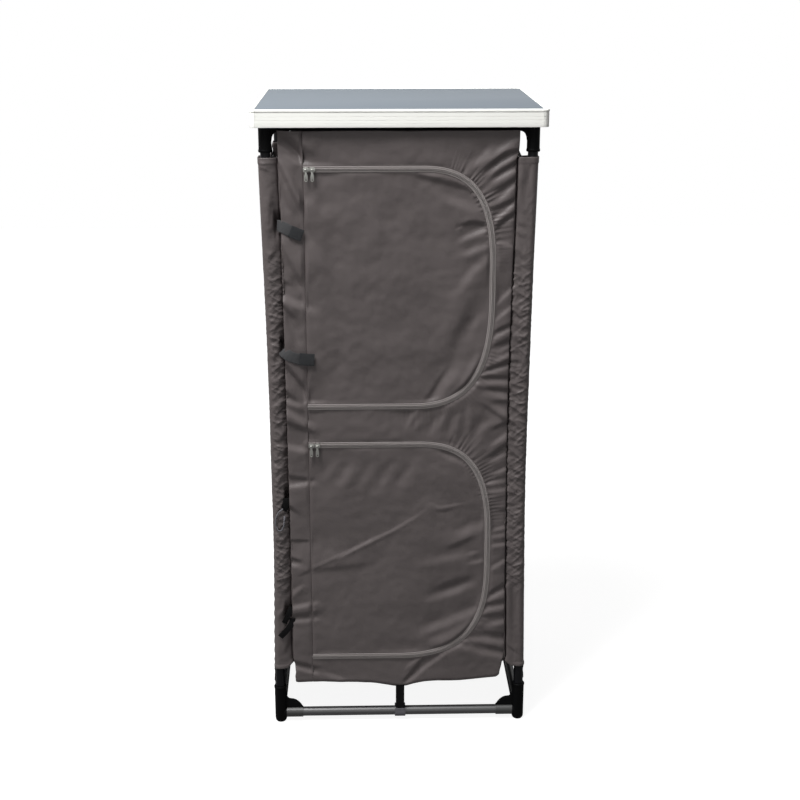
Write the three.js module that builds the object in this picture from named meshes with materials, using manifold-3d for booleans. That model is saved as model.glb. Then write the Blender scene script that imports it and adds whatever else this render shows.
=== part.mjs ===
import * as THREE from 'three';
import { mergeVertices } from 'three/addons/utils/BufferGeometryUtils.js';
import Module from 'manifold-3d';

const wasm = await Module();
wasm.setup();

// Camping wardrobe: fabric body with two D-shaped doors on a plug-in tube frame, under a hard tabletop.
// Millimetres, +Z up, +X right, the doors face -Y, origin on the floor under the middle.

// Overall size
const width = 600;
const depth = 500;
const height = 1380;

// Clearances and cuts
const fit = 0.3;
const cutOverrun = 2;

// Tabletop board and its plastic rim
const boardThickness = 12;
const fieldRise = 1.3;
const fieldCornerRadius = 9;
const rimHeight = 34;
const rimWall = 3;
const lipThickness = 1.8;
const lipReach = 10;
const lipRound = 1.2;
const lipBand = 4.6;
const lipOverhang = 0.8;
const ledgeThickness = 2.4;
const rimCornerRadius = 12;
const grooveDepth = 1.1;
const grooveWidth = 2.2;
const grooveHeightShares = [0.2, 0.42, 0.63, 0.82];
const rimCornerSteps = 16;
const arcSteps = 5;

// Steel tubes of the frame
const tubeDiameter = 21;
const tubeWall = 1.2;
const tubeSides = 12;
const postInsetX = 29;
const postInsetY = 30;
const postBow = 9;
const postBowSteps = 6;
const postBowPower = 1.3;

// Plastic foot and top connectors
const connectorDiameter = 26.5;
const connectorSides = 16;
const collarHeight = 5;
const collarProud = 0.9;
const socketDiameter = 24;
const socketReach = 50;
const boreStart = 14.3;
const boreBottom = 12;
const footHeight = 90;
const footRound = 8;
const footRoundSteps = 3;
const footFlatRadius = 7;
const bottomBarHeight = 22;
const topBarDrop = 34;
const topSocketDrop = 53;
const topBoreRise = 12;
const webThickness = 7;
const footWebRise = 50;
const footWebNeck = 5;
const footWebShoulder = 32;
const topWebDrop = 31;
const topWebReach = 30;

// Cloth of the body
const clothThickness = 1.2;
const sleeveEase = 0.6;
const sleeveFlap = 32;
const sleeveTopDrop = 97;
const sleeveBottomHeight = 137;
const sleeveArcSteps = 5;
const panelTopDrop = 43;
const panelInset = 28;
const sideSwag = 36;
const sideSwagSteps = 6;
const hemHeight = 104;
const hemDip = 12;
const hemDipWidth = 90;
const hemCornerRadius = 15;
const hemStep = 30;
const clothCell = 28;
const foldRise = 4.5;
const foldFade = 14;

// Doors and the seam that they swing on
const leftStripWidth = 48;
const rightStripWidth = 50;
const topBand = 77;
const middleBand = 86;
const bottomBand = 64;
const upperCornerShares = {
  top: { across: 0.366, down: 0.398 },
  bottom: { across: 0.418, down: 0.457 },
};
const lowerCornerShares = {
  top: { across: 0.381, down: 0.418 },
  bottom: { across: 0.497, down: 0.422 },
};
const cornerFullnessShare = 0.7;
const cornerSteps = 9;
const sideSteps = 2;

// Zips
const chainGap = 0.3;
const clothSetBack = 2.2;
const tapeReach = 7;
const tapeThickness = 1;
const beadReach = 2.4;
const beadRise = 1.1;

// Zip sliders and their pulls
const sliderLength = 12;
const sliderHeight = 9.6;
const sliderDepth = 2;
const sliderNoseShare = 0.55;
const sliderPitch = 12.7;
const bridgeSpan = 7;
const bridgeRise = 3.2;
const bridgeThickness = 1.4;
const pullLength = 24;
const pullWidth = 7;
const pullNeckWidth = 4.4;
const pullThickness = 1.2;
const pullNeckShare = 0.33;
const pullShoulderShare = 0.5;
const pullHoleDiameter = 3.2;
const eyeDiameter = 4.2;
const eyeLength = 3.6;
const eyeClearance = 0.5;
const eyeSides = 12;

// Webbing
const webbingThickness = 1.4;
const tieStrapWidth = 21;
const bottomStrapWidth = 20;
const bottomStrapTop = 116;

// Shelf, floor and hanging rail
const shelfRise = 37;
const shelfThickness = 6;
const floorHeight = 146;
const floorThickness = 4;
const shelfCornerCut = 46;
const railDiameter = 8;
const railDrop = 40;
const railHookWrapShare = 0.42;
const railSides = 8;
const railBendRadius = 14;
const railBendSteps = 5;
const railEase = 0.6;

// Worked out from the sizes above
const boardTop = height - lipThickness - fit;
const boardBottom = boardTop - boardThickness;
const frameTop = boardBottom - fit;
const topBarHeight = height - topBarDrop;
const tubeRadius = tubeDiameter / 2;
const postX = width / 2 - postInsetX;
const postY = depth / 2 - postInsetY;
const sleeveInner = tubeRadius + sleeveEase;
const sleeveOuter = sleeveInner + clothThickness;
const clothBack = sleeveOuter + fit;
const panelBackY = postY + clothBack;
const panelFaceY = panelBackY + clothThickness;
const sidePanelBackX = postX + clothBack;
const panelEdge = postX - panelInset;
const sideEdge = postY - panelInset;
const sleeveTopHeight = height - sleeveTopDrop;
const panelTopHeight = height - panelTopDrop;
const hingeX = leftStripWidth - panelEdge;
const doorRightEdge = panelEdge - rightStripWidth;
const doorWidth = doorRightEdge - hingeX;
const doorHeight = (panelTopHeight - hemHeight - topBand - middleBand - bottomBand) / 2;
const lowerDoor = {
  top: hemHeight + bottomBand + doorHeight,
  bottom: hemHeight + bottomBand,
  cornerShares: lowerCornerShares,
};
const upperDoor = {
  top: panelTopHeight - topBand,
  bottom: panelTopHeight - topBand - doorHeight,
  cornerShares: upperCornerShares,
};
const shelfHeight = lowerDoor.top + shelfRise;
const tapeFaceY = panelFaceY + fit + tapeThickness;
const beadFaceY = tapeFaceY + beadRise;

const steel = { color: 0x1b1b1d, roughness: 0.38, metalness: 0.55 };
const moulding = { color: 0x161617, roughness: 0.55, metalness: 0 };
const cloth = { color: 0x4d4745, roughness: 0.85, metalness: 0 };
const tape = { color: 0x8c8480, roughness: 0.8, metalness: 0 };
const webbing = { color: 0x26282a, roughness: 0.9, metalness: 0 };
const nickel = { color: 0xb4b4b2, roughness: 0.3, metalness: 0.9 };
const laminate = { color: 0x96a0aa, roughness: 0.4, metalness: 0 };
const rimPlastic = { color: 0xe6e6df, roughness: 0.45, metalness: 0 };

const corners = [
  { name: 'front_left', sx: -1, sy: -1 },
  { name: 'front_right', sx: 1, sy: -1 },
  { name: 'back_left', sx: -1, sy: 1 },
  { name: 'back_right', sx: 1, sy: 1 },
];

const wardrobe = new THREE.Group();

function addPart(parent, name, geometry, look) {
  const mesh = new THREE.Mesh(geometry, new THREE.MeshStandardMaterial(look));
  mesh.name = name;
  parent.add(mesh);
  return mesh;
}

// Solids

function plainGeometry(geometry) {
  const bare = geometry.clone();
  for (const name of Object.keys(bare.attributes)) {
    if (name !== 'position') bare.deleteAttribute(name);
  }
  return mergeVertices(bare, fit / 1000);
}

// Turns all faces of a closed mesh to point out
function outwardFacing(geometry) {
  const index = geometry.index.array;
  const position = geometry.attributes.position;
  const [a, b, c] = [new THREE.Vector3(), new THREE.Vector3(), new THREE.Vector3()];
  let volume = 0;
  for (let i = 0; i < index.length; i += 3) {
    a.fromBufferAttribute(position, index[i]);
    b.fromBufferAttribute(position, index[i + 1]);
    c.fromBufferAttribute(position, index[i + 2]);
    volume += a.dot(b.cross(c));
  }
  if (volume < 0) {
    for (let i = 0; i < index.length; i += 3) [index[i], index[i + 1]] = [index[i + 1], index[i]];
  }
  return geometry;
}

function solidOf(geometry) {
  const merged = outwardFacing(plainGeometry(geometry));
  const index = merged.index.array;
  const triangles = [];
  for (let i = 0; i < index.length; i += 3) {
    const [a, b, c] = [index[i], index[i + 1], index[i + 2]];
    if (a !== b && b !== c && c !== a) triangles.push(a, b, c);
  }
  return new wasm.Manifold(new wasm.Mesh({
    numProp: 3,
    vertProperties: new Float32Array(merged.attributes.position.array),
    triVerts: new Uint32Array(triangles),
  }));
}

function geometryOf(solid) {
  const mesh = solid.getMesh();
  const geometry = new THREE.BufferGeometry();
  geometry.setAttribute('position', new THREE.BufferAttribute(new Float32Array(mesh.vertProperties), 3));
  geometry.setIndex(new THREE.BufferAttribute(new Uint32Array(mesh.triVerts), 1));
  return geometry;
}

function joined(...geometries) {
  return geometries.map(solidOf).reduce((whole, piece) => whole.add(piece));
}

// A copy reflected in X, Y or both, with its faces turned to point out again
function reflected(geometry, sx, sy) {
  return outwardFacing(plainGeometry(geometry).scale(sx, sy, 1));
}

// Extrusions: a shape drawn in a plane, pushed out along the third axis from zero

function extrudeZ(shape, length, steps = 1) {
  return new THREE.ExtrudeGeometry(shape, {
    depth: length,
    steps,
    bevelEnabled: false,
    curveSegments: arcSteps,
  });
}

// The shape is drawn as (y, z)
function extrudeX(shape, length) {
  const toX = new THREE.Matrix4().makeBasis(
    new THREE.Vector3(0, 1, 0),
    new THREE.Vector3(0, 0, 1),
    new THREE.Vector3(1, 0, 0),
  );
  return extrudeZ(shape, length).applyMatrix4(toX);
}

// The shape is drawn as (x, z) and pushed out towards -Y
function extrudeFront(shape, length) {
  return extrudeZ(shape, length).rotateX(Math.PI / 2);
}

function rodAlong(axis, radius, length, sides) {
  const rod = new THREE.CylinderGeometry(radius, radius, length, sides);
  if (axis === 'x') rod.rotateZ(-Math.PI / 2).translate(length / 2, 0, 0);
  if (axis === 'y') rod.translate(0, length / 2, 0);
  if (axis === 'z') rod.rotateX(Math.PI / 2).translate(0, 0, length / 2);
  return rod;
}

function circle(radius, sides) {
  const points = [];
  for (let i = 0; i < sides; i += 1) {
    const angle = (2 * Math.PI * i) / sides;
    points.push(new THREE.Vector2(radius * Math.cos(angle), radius * Math.sin(angle)));
  }
  return points;
}

function ring(outer, inner, sides) {
  const shape = new THREE.Shape(circle(outer, sides));
  shape.holes.push(new THREE.Path(circle(inner, sides)));
  return shape;
}

function polygon(points) {
  return new THREE.Shape(points.map(([a, b]) => new THREE.Vector2(a, b)));
}

function revolved(profile, sides) {
  const points = profile.map(([r, z]) => new THREE.Vector2(r, z));
  return new THREE.LatheGeometry(points, sides).rotateX(Math.PI / 2);
}

// Tabletop

// Rim section as [distance in from the outer face, height above the rim's bottom]
function rimOuterFace() {
  const face = [
    [lipReach, rimHeight - lipRound],
    [lipReach - lipRound, rimHeight],
    [lipRound, rimHeight],
    [0, rimHeight - lipRound],
    [0, rimHeight - lipBand],
    [lipOverhang, rimHeight - lipBand - lipOverhang],
  ];
  for (const share of grooveHeightShares) {
    const middle = rimHeight * (1 - share);
    face.push([lipOverhang, middle + grooveWidth / 2]);
    face.push([lipOverhang + grooveDepth, middle]);
    face.push([lipOverhang, middle - grooveWidth / 2]);
  }
  face.push([lipOverhang, 0], [rimWall, 0]);
  return face;
}

const ledgeTop = boardBottom - fit - (height - rimHeight);
const lipUnderside = rimHeight - lipThickness;

function rimLength(length) {
  const section = rimOuterFace();
  section.push([rimWall, ledgeTop - ledgeThickness], [lipReach, ledgeTop - ledgeThickness]);
  section.push([lipReach, ledgeTop], [rimWall, ledgeTop], [rimWall, lipUnderside]);
  section.push([lipReach, lipUnderside]);
  return extrudeX(polygon(section), length).translate(-length / 2, 0, height - rimHeight);
}

function rimCorner() {
  const profile = [[0, rimHeight]];
  for (const [inset, z] of rimOuterFace().slice(2)) profile.push([rimCornerRadius - inset, z]);
  const wall = rimCornerRadius - rimWall;
  profile.push([wall, ledgeTop - ledgeThickness], [0, ledgeTop - ledgeThickness], [0, ledgeTop]);
  profile.push([wall, ledgeTop], [wall, lipUnderside], [0, lipUnderside], [0, rimHeight]);
  const round = revolved(profile, rimCornerSteps);
  const reach = rimCornerRadius + cutOverrun;
  const quarter = new THREE.BoxGeometry(reach, reach, rimHeight + 2 * cutOverrun);
  quarter.translate(reach / 2, reach / 2, rimHeight / 2);
  return geometryOf(solidOf(round).intersect(solidOf(quarter)));
}

function roundedPlate(edge, radius, thickness) {
  const shape = new THREE.Shape();
  const [x, y] = [width / 2 - edge - radius, depth / 2 - edge - radius];
  shape.absarc(x, y, radius, 0, Math.PI / 2, false);
  shape.absarc(-x, y, radius, Math.PI / 2, Math.PI, false);
  shape.absarc(-x, -y, radius, Math.PI, 1.5 * Math.PI, false);
  shape.absarc(x, -y, radius, 1.5 * Math.PI, 2 * Math.PI, false);
  return extrudeZ(shape, thickness);
}

// The board's edge is held in the rim, and its field stands up inside the rim's lip
function tabletopBoard() {
  const edge = rimWall + fit;
  const held = roundedPlate(edge, rimCornerRadius - edge, boardThickness);
  const field = roundedPlate(lipReach + fit, fieldCornerRadius, boardThickness + fieldRise);
  return geometryOf(joined(held, field));
}

function buildTabletop() {
  const tabletop = new THREE.Group();
  addPart(tabletop, 'tabletop_board', tabletopBoard(), laminate).position.z = boardBottom;

  const sideGap = rimCornerRadius + fit;
  const frontLength = width - 2 * sideGap;
  const sideLength = depth - 2 * sideGap;
  const rims = [
    ['tabletop_rim_front', frontLength, 0, 0, -depth / 2],
    ['tabletop_rim_right', sideLength, Math.PI / 2, width / 2, 0],
    ['tabletop_rim_back', frontLength, Math.PI, 0, depth / 2],
    ['tabletop_rim_left', sideLength, -Math.PI / 2, -width / 2, 0],
  ];
  for (const [name, length, turn, x, y] of rims) {
    const rim = addPart(tabletop, name, rimLength(length), rimPlastic);
    rim.position.set(x, y, 0);
    rim.rotation.z = turn;
  }
  for (const { name, sx, sy } of corners) {
    const corner = addPart(tabletop, `tabletop_corner_${name}`, reflected(rimCorner(), sx, sy), rimPlastic);
    corner.position.x = sx * (width / 2 - rimCornerRadius);
    corner.position.y = sy * (depth / 2 - rimCornerRadius);
    corner.position.z = height - rimHeight;
  }
  return tabletop;
}

// Frame

// The fabric's pull draws each post inwards in a shallow bow, taken as straight lengths between levels
const bowBottom = footHeight;
const bowTop = topBarHeight - topSocketDrop;
const bowLevels = [];
for (let i = 0; i <= postBowSteps; i += 1) {
  bowLevels.push(THREE.MathUtils.lerp(bowBottom, bowTop, i / postBowSteps));
}

function bowAt(z) {
  const share = THREE.MathUtils.clamp((z - bowBottom) / (bowTop - bowBottom), 0, 1);
  const step = Math.min(Math.floor(share * postBowSteps), postBowSteps - 1);
  const [low, high] = [step, step + 1].map((i) => (
    postBow * Math.max(Math.sin((Math.PI * i) / postBowSteps), 0) ** postBowPower
  ));
  return THREE.MathUtils.lerp(low, high, share * postBowSteps - step);
}

function levelsBetween(bottom, top) {
  return [bottom, ...bowLevels.filter((z) => z > bottom + fit && z < top - fit), top];
}

// A section drawn round the post's axis, carried up from bottom to top and following the bow
function alongPost(section, bottom, top, sx) {
  const levels = levelsBetween(bottom, top);
  const steps = levels.length - 1;
  const column = extrudeZ(section, steps, steps);
  const position = column.attributes.position;
  for (let i = 0; i < position.count; i += 1) {
    const z = levels[Math.round(position.getZ(i))];
    position.setXYZ(i, position.getX(i) - sx * bowAt(z), position.getY(i), z);
  }
  return column;
}

const postBottom = boreBottom + fit;
const postTop = topBarHeight + topBoreRise - fit;

function postTube(sx) {
  return alongPost(ring(tubeRadius, tubeRadius - tubeWall, tubeSides), postBottom, postTop, sx);
}

function barTube(axis, length) {
  const section = ring(tubeRadius, tubeRadius - tubeWall, tubeSides);
  const tubeGeometry = extrudeZ(section, length).translate(0, 0, -length / 2);
  return axis === 'x' ? tubeGeometry.rotateY(Math.PI / 2) : tubeGeometry.rotateX(-Math.PI / 2);
}

// A gusset drawn as [distance inboard, height] lies in both upright planes through the post
function bothGussets(outline) {
  const slab = extrudeFront(outline, webThickness).translate(0, webThickness / 2, 0);
  return [slab, slab.clone().rotateZ(Math.PI / 2)];
}

// Both horizontal sockets of a connector at a height, as outer rods and as the bores to cut
function socketRods(z) {
  const radius = socketDiameter / 2;
  return ['x', 'y'].map((axis) => rodAlong(axis, radius, socketReach, connectorSides).translate(0, 0, z));
}

function socketBores(z) {
  const length = socketReach - boreStart + cutOverrun;
  const bores = ['x', 'y'].map((axis) => rodAlong(axis, tubeRadius + fit, length, connectorSides));
  bores[0].translate(boreStart, 0, z);
  bores[1].translate(0, boreStart, z);
  return bores;
}

function connectorSolid(body, gusset, barZ, postBore) {
  let solid = joined(body, ...socketRods(barZ), ...bothGussets(gusset));
  for (const bore of [postBore, ...socketBores(barZ)]) solid = solid.subtract(solidOf(bore));
  return geometryOf(solid);
}

function footConnector() {
  const r = connectorDiameter / 2;
  const collar = r + collarProud;
  const collarBottom = footHeight - collarHeight;
  const profile = [[0, 0], [footFlatRadius, 0]];
  for (let i = 1; i <= footRoundSteps; i += 1) {
    const angle = (Math.PI / 2) * (i / footRoundSteps);
    profile.push([
      footFlatRadius + (r - footFlatRadius) * Math.sin(angle),
      footRound * (1 - Math.cos(angle)),
    ]);
  }
  profile.push(
    [r, collarBottom - collarProud],
    [collar, collarBottom],
    [collar, footHeight - collarProud],
    [collar - collarProud, footHeight],
    [0, footHeight],
  );
  const body = revolved(profile, connectorSides);
  const gusset = new THREE.Shape();
  const shoulder = bottomBarHeight + footWebShoulder;
  const neck = r + footWebNeck;
  gusset.moveTo(0, bottomBarHeight);
  gusset.lineTo(socketReach, bottomBarHeight);
  gusset.lineTo(socketReach, bottomBarHeight + socketDiameter / 2);
  gusset.quadraticCurveTo((socketReach + neck) / 2 + footWebNeck, shoulder, neck + footWebNeck, shoulder);
  gusset.quadraticCurveTo(r, shoulder, r, bottomBarHeight + footWebRise);
  gusset.lineTo(0, bottomBarHeight + footWebRise);
  gusset.closePath();
  const boreLength = footHeight - boreBottom + cutOverrun;
  const bore = rodAlong('z', tubeRadius + fit, boreLength, connectorSides).translate(0, 0, boreBottom);
  return connectorSolid(body, gusset, bottomBarHeight, bore);
}

// The top connector is drawn from the height of the top bars
function topConnector() {
  const r = connectorDiameter / 2;
  const collar = r + collarProud;
  const top = frameTop - topBarHeight;
  const body = revolved([
    [0, -topSocketDrop],
    [collar - collarProud, -topSocketDrop],
    [collar, -topSocketDrop + collarProud],
    [collar, -topSocketDrop + collarHeight],
    [r, -topSocketDrop + collarHeight + collarProud],
    [r, top - collarProud],
    [r - collarProud, top],
    [0, top],
  ], connectorSides);
  const gusset = new THREE.Shape();
  const barUnderside = -socketDiameter / 2 + collarProud;
  gusset.moveTo(0, 0);
  gusset.lineTo(0, -topWebDrop);
  gusset.lineTo(r, -topWebDrop);
  gusset.quadraticCurveTo(r + collarProud, barUnderside, topWebReach, barUnderside);
  gusset.lineTo(topWebReach, 0);
  gusset.closePath();
  const boreLength = topSocketDrop + topBoreRise + cutOverrun;
  const bore = rodAlong('z', tubeRadius + fit, boreLength, connectorSides);
  bore.translate(0, 0, -topSocketDrop - cutOverrun);
  return connectorSolid(body, gusset, 0, bore);
}

// A bent rod that hooks over both side top bars and runs level between them
function hangingRail() {
  const radius = railDiameter / 2;
  const hookRadius = tubeRadius + railEase + radius;
  const railZ = topBarHeight - railDrop;
  const hookX = postX - hookRadius;
  const bendX = hookX - railBendRadius;
  const bendZ = railZ + railBendRadius;
  const line = new THREE.Path();
  line.absarc(-postX, topBarHeight, hookRadius, Math.PI * (0.5 + railHookWrapShare / 2), 0, true);
  line.lineTo(-hookX, bendZ);
  line.absarc(-bendX, bendZ, railBendRadius, Math.PI, 1.5 * Math.PI, false);
  line.lineTo(bendX, railZ);
  line.absarc(bendX, bendZ, railBendRadius, 1.5 * Math.PI, 2 * Math.PI, false);
  line.lineTo(hookX, topBarHeight);
  line.absarc(postX, topBarHeight, hookRadius, Math.PI, Math.PI * (0.5 - railHookWrapShare / 2), true);
  const points = [];
  for (const curve of line.curves) {
    const steps = curve.isLineCurve ? 1 : railBendSteps;
    for (const point of curve.getPoints(steps)) {
      const place = new THREE.Vector3(point.x, 0, point.y);
      const last = points[points.length - 1];
      if (!last || last.distanceTo(place) > fit) points.push(place);
    }
  }
  return tubeThrough(points, radius, railSides);
}

// A round rod through points in an upright plane, mitred at each point
function tubeThrough(points, radius, sides) {
  const positions = [];
  const index = [];
  const last = points.length - 1;
  const across = new THREE.Vector3(0, 1, 0);
  points.forEach((point, i) => {
    const before = points[Math.max(i - 1, 0)];
    const after = points[Math.min(i + 1, last)];
    const incoming = point.clone().sub(before).normalize();
    const outgoing = after.clone().sub(point).normalize();
    const along = incoming.clone().add(outgoing).normalize();
    const normal = new THREE.Vector3().crossVectors(along, across).normalize();
    const bend = i === 0 || i === last ? 1 : 1 / along.dot(outgoing);
    for (let k = 0; k < sides; k += 1) {
      const angle = (2 * Math.PI * k) / sides;
      const place = point.clone();
      place.addScaledVector(normal, radius * bend * Math.cos(angle));
      place.addScaledVector(across, radius * Math.sin(angle));
      positions.push(place.x, place.y, place.z);
    }
  });
  for (let i = 0; i < last; i += 1) {
    for (let k = 0; k < sides; k += 1) {
      const [a, b] = [i * sides + k, i * sides + ((k + 1) % sides)];
      index.push(a, b, a + sides, b, b + sides, a + sides);
    }
  }
  for (let k = 1; k + 1 < sides; k += 1) {
    index.push(0, k + 1, k);
    index.push(last * sides, last * sides + k, last * sides + k + 1);
  }
  const geometry = new THREE.BufferGeometry();
  geometry.setAttribute('position', new THREE.Float32BufferAttribute(positions, 3));
  geometry.setIndex(index);
  return outwardFacing(geometry);
}

function buildFrame() {
  const frame = new THREE.Group();
  for (const { name, sx, sy } of corners) {
    addPart(frame, `post_${name}`, postTube(sx), steel).position.set(sx * postX, sy * postY, 0);
  }
  for (const { name, sx, sy } of corners) {
    const foot = addPart(frame, `foot_${name}`, reflected(footConnector(), -sx, -sy), moulding);
    foot.position.set(sx * postX, sy * postY, 0);
  }
  for (const { name, sx, sy } of corners) {
    const top = addPart(frame, `top_connector_${name}`, reflected(topConnector(), -sx, -sy), moulding);
    top.position.set(sx * postX, sy * postY, topBarHeight);
  }
  const barInset = boreStart + fit;
  const acrossLength = 2 * (postX - barInset);
  const backLength = 2 * (postY - barInset);
  for (const [level, z] of [['top', topBarHeight], ['bottom', bottomBarHeight]]) {
    addPart(frame, `${level}_bar_front`, barTube('x', acrossLength), steel).position.set(0, -postY, z);
    addPart(frame, `${level}_bar_back`, barTube('x', acrossLength), steel).position.set(0, postY, z);
    addPart(frame, `${level}_bar_left`, barTube('y', backLength), steel).position.set(-postX, 0, z);
    addPart(frame, `${level}_bar_right`, barTube('y', backLength), steel).position.set(postX, 0, z);
  }
  addPart(frame, 'hanging_rail', hangingRail(), steel);
  return frame;
}

// Cloth body

// Folds as [from x, from z, to x, to z, half width, rise]. Places are shares of the cloth's own width and
// height from its lower left corner, half widths are shares of its width and rises are shares of foldRise.
const upperDoorFoldShares = [
  [0.02, 0.86, 0.3, 0.42, 0.07, 0.8],
  [0.12, 0.96, 0.42, 0.66, 0.05, 0.5],
  [0.97, 0.66, 0.6, 0.3, 0.07, 0.9],
  [0.96, 0.84, 0.55, 0.72, 0.05, 0.8],
  [0.9, 0.22, 0.7, 0.1, 0.06, 1],
];
const lowerDoorFoldShares = [
  [0.02, 0.32, 0.66, 0.66, 0.05, 1],
  [0.97, 0.5, 0.62, 0.38, 0.06, 0.8],
  [0.96, 0.28, 0.55, 0.16, 0.06, 0.9],
  [0.3, 0.95, 0.16, 0.7, 0.06, 0.5],
];
const frontPanelFoldShares = [
  [0.98, 0.985, 0.8, 0.93, 0.035, 1],
  [0.99, 0.955, 0.86, 0.89, 0.035, 0.9],
  [0.97, 0.8, 0.92, 0.76, 0.04, 0.6],
  [0.98, 0.6, 0.92, 0.545, 0.04, 0.8],
  [0.98, 0.45, 0.92, 0.42, 0.04, 0.8],
  [0.98, 0.26, 0.92, 0.2, 0.04, 0.7],
  [0.62, 0.07, 0.46, 0.015, 0.04, 0.9],
  [0.75, 0.505, 0.72, 0.475, 0.04, 0.7],
];
const leftStripFoldShares = [
  [0.05, 0.97, 0.95, 0.9, 0.2, 0.7],
  [0.05, 0.78, 0.95, 0.7, 0.2, 0.6],
  [0.05, 0.58, 0.95, 0.53, 0.2, 0.6],
  [0.05, 0.46, 0.95, 0.42, 0.2, 0.6],
  [0.05, 0.29, 0.95, 0.25, 0.2, 0.6],
  [0.05, 0.14, 0.95, 0.1, 0.2, 0.5],
];

function segmentDistance(x, z, x1, z1, x2, z2) {
  const length = Math.hypot(x2 - x1, z2 - z1);
  const along = ((x - x1) * (x2 - x1) + (z - z1) * (z2 - z1)) / (length * length);
  const t = THREE.MathUtils.clamp(along, 0, 1);
  return Math.hypot(x - x1 - t * (x2 - x1), z - z1 - t * (z2 - z1));
}

// How far the cloth stands out at a place: all folds swell outwards, away from the frame
function foldsAt(foldShares, area, x, z) {
  let rise = 0;
  for (const [x1, z1, x2, z2, half, share] of foldShares) {
    const distance = segmentDistance(
      x,
      z,
      area.left + x1 * area.width,
      area.bottom + z1 * area.height,
      area.left + x2 * area.width,
      area.bottom + z2 * area.height,
    );
    rise = Math.max(rise, share * foldRise * Math.exp(-((distance / (half * area.width)) ** 2)));
  }
  return rise;
}

// The line of a zip from the hinge seam round the door and back, as points with outward normals
function zipLine(door) {
  const path = new THREE.Path();
  const [topCorner, bottomCorner] = [door.cornerShares.top, door.cornerShares.bottom].map((share) => (
    { across: share.across * doorWidth, down: share.down * doorHeight }
  ));
  const full = cornerFullnessShare;
  path.moveTo(hingeX, door.top);
  path.lineTo(doorRightEdge - topCorner.across, door.top);
  path.bezierCurveTo(
    doorRightEdge - topCorner.across * (1 - full),
    door.top,
    doorRightEdge,
    door.top - topCorner.down * (1 - full),
    doorRightEdge,
    door.top - topCorner.down,
  );
  path.lineTo(doorRightEdge, door.bottom + bottomCorner.down);
  path.bezierCurveTo(
    doorRightEdge,
    door.bottom + bottomCorner.down * (1 - full),
    doorRightEdge - bottomCorner.across * (1 - full),
    door.bottom,
    doorRightEdge - bottomCorner.across,
    door.bottom,
  );
  path.lineTo(hingeX, door.bottom);
  const points = [];
  for (const curve of path.curves) {
    const steps = curve.isLineCurve ? sideSteps : cornerSteps;
    for (const point of curve.getPoints(steps)) {
      const last = points[points.length - 1];
      if (!last || last.distanceTo(point) > fit) points.push(point);
    }
  }
  return points.map((point, i) => {
    const before = points[Math.max(i - 1, 0)];
    const after = points[Math.min(i + 1, points.length - 1)];
    const along = after.clone().sub(before).normalize();
    return { x: point.x, z: point.y, nx: -along.y, nz: along.x };
  });
}

function offsetLine(line, distance) {
  return line.map(({ x, z, nx, nz }) => [x + distance * nx, z + distance * nz]);
}

const zipLines = new Map([[upperDoor, zipLine(upperDoor)], [lowerDoor, zipLine(lowerDoor)]]);

function zipDistance(x, z) {
  let least = Infinity;
  for (const line of zipLines.values()) {
    for (let i = 0; i + 1 < line.length; i += 1) {
      const [a, b] = [line[i], line[i + 1]];
      least = Math.min(least, segmentDistance(x, z, a.x, a.z, b.x, b.z));
    }
  }
  return least;
}

// Folds die away a cell short of the zips, which lie flat
function zipFade(x, z) {
  const flat = tapeReach + clothCell * Math.SQRT2;
  return THREE.MathUtils.clamp((zipDistance(x, z) - flat) / foldFade, 0, 1);
}

// A slab of front cloth over an area, with its folds, before it is cut to outline
function frontCloth(area, foldShares) {
  const cellsX = Math.ceil(area.width / clothCell);
  const cellsZ = Math.ceil(area.height / clothCell);
  const middleX = area.left + area.width / 2;
  const middleZ = area.bottom + area.height / 2;
  const slab = new THREE.BoxGeometry(area.width, clothThickness, area.height, cellsX, 1, cellsZ);
  slab.translate(middleX, -panelBackY - clothThickness / 2, middleZ);
  const position = slab.attributes.position;
  for (let i = 0; i < position.count; i += 1) {
    const [x, z] = [position.getX(i), position.getZ(i)];
    position.setY(i, position.getY(i) - foldsAt(foldShares, area, x, z) * zipFade(x, z));
  }
  return solidOf(slab);
}

// A prism through the front from an outline of [x, z] points
function throughFront(outline) {
  const reach = 2 * (foldRise + clothThickness + cutOverrun);
  const prism = extrudeFront(polygon(outline), reach);
  return solidOf(prism.translate(0, -panelFaceY + reach / 2, 0));
}

function doorOutline(door, distance) {
  const line = offsetLine(zipLines.get(door), distance);
  const side = hingeX - Math.sign(distance) * chainGap;
  line[0][0] = side;
  line[line.length - 1][0] = side;
  return line;
}

// Hem line from left to right, with a dip where the strap pulls it down
function hemAt(x) {
  return hemHeight - hemDip * Math.exp(-((x / hemDipWidth) ** 2));
}

function hemLine(from, to) {
  const steps = Math.ceil((to - from) / hemStep);
  const line = [];
  for (let i = 0; i <= steps; i += 1) {
    const x = from + ((to - from) * i) / steps;
    line.push([x, hemAt(x)]);
  }
  return line;
}

function frontPanel() {
  const area = {
    left: hingeX + chainGap,
    bottom: hemHeight - hemDip,
    width: panelEdge - hingeX - chainGap,
    height: panelTopHeight - hemHeight + hemDip,
  };
  const hem = hemLine(area.left, panelEdge - hemCornerRadius);
  const round = hemCornerRadius * (1 - Math.SQRT1_2);
  const outline = [
    ...hem,
    [panelEdge - round, hemHeight + round],
    [panelEdge, hemHeight + hemCornerRadius],
    [panelEdge, panelTopHeight],
    [area.left, panelTopHeight],
  ];
  let solid = frontCloth(area, frontPanelFoldShares).intersect(throughFront(outline));
  for (const door of [upperDoor, lowerDoor]) {
    solid = solid.subtract(throughFront(doorOutline(door, clothSetBack)));
  }
  return geometryOf(solid);
}

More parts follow.
